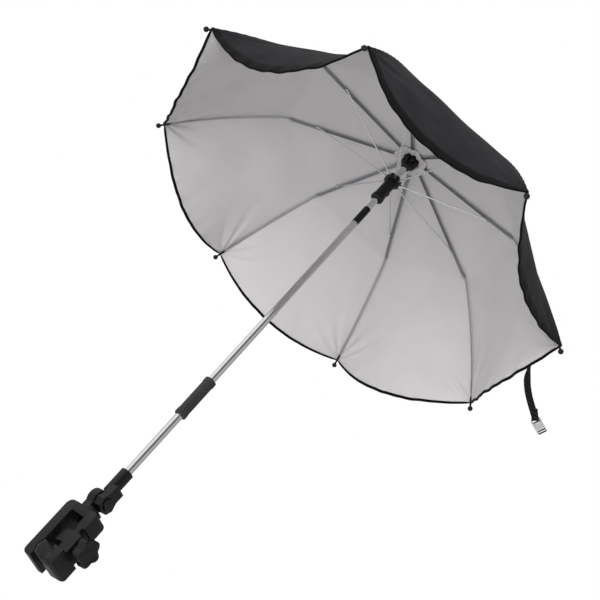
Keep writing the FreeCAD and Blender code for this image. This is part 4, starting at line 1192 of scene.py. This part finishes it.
def make_lamp(name, at, towards, size, power):
    """A square area lamp at one point, facing another."""
    light = bpy.data.lights.new(name, "AREA")
    light.energy = power
    light.size = size
    lamp = bpy.data.objects.new(name, light)
    bpy.context.scene.collection.objects.link(lamp)
    lamp.location = at
    lamp.rotation_euler = (Vector(towards) - Vector(at)).to_track_quat("-Z", "Y").to_euler()
    lamp.visible_glossy = False


class PARASOL_OT_stage(bpy.types.Operator):
    """Makes the pale floor, the white surround, the lamps and the camera"""
    bl_idname = "parasol.stage"
    bl_label = "Stage"

    def execute(self, context):
        stage = context.scene.parasol_stage
        make_floor(stage)
        make_world(context, stage)
        make_lamp("key_lamp", *KEY_LAMP, stage.key_power)
        make_lamp("top_lamp", *TOP_LAMP, stage.fill_power)
        view = bpy.data.cameras.new("photo_camera")
        view.lens = stage.focal
        view.sensor_width = 36
        view.clip_end = 100
        camera = bpy.data.objects.new("photo_camera", view)
        context.scene.collection.objects.link(camera)
        back = -CAMERA_VIEW.normalized()
        right = CAMERA_UP.cross(back).normalized()
        turned = Matrix((right, back.cross(right), back)).transposed().to_4x4()
        camera.matrix_world = Matrix.Translation(CAMERA_AT) @ turned
        context.scene.camera = camera
        context.scene.view_settings.view_transform = "Standard"
        return {"FINISHED"}


class PARASOL_PT_sidebar(bpy.types.Panel):
    """Lists the parasol's pieces and their sizes"""
    bl_label = "Parasol"
    bl_idname = "PARASOL_PT_sidebar"
    bl_space_type = "VIEW_3D"
    bl_region_type = "UI"
    bl_category = "Parasol"

    def draw(self, context):
        for step in STEPS:
            self.layout.operator(step.bl_idname)
        for group in GROUPS:
            settings = getattr(context.scene, group)
            box = self.layout.box()
            for key in settings.__annotations__:
                box.prop(settings, key)


GROUPS = {"parasol_cloth": ParasolCloth, "parasol_finish": ParasolFinish, "parasol_clamp": ParasolClamp,
          "parasol_stage": ParasolStage}
STEPS = (PARASOL_OT_canopy, PARASOL_OT_rosette, PARASOL_OT_strap, PARASOL_OT_ribs, PARASOL_OT_pole,
         PARASOL_OT_hub, PARASOL_OT_arm, PARASOL_OT_clamp, PARASOL_OT_stage)
CLASSES = (*GROUPS.values(), *STEPS, PARASOL_PT_sidebar)


def register():
    for one in CLASSES:
        bpy.utils.register_class(one)
    for name, kind in GROUPS.items():
        setattr(bpy.types.Scene, name, bpy.props.PointerProperty(type=kind))


def unregister():
    for name in GROUPS:
        delattr(bpy.types.Scene, name)
    for one in reversed(CLASSES):
        bpy.utils.unregister_class(one)


def main():
    """Registers the parts of the add-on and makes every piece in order."""
    register()
    for step in STEPS:
        family, name = step.bl_idname.split(".")
        getattr(getattr(bpy.ops, family), name)()


if __name__ == "__main__":
    main()
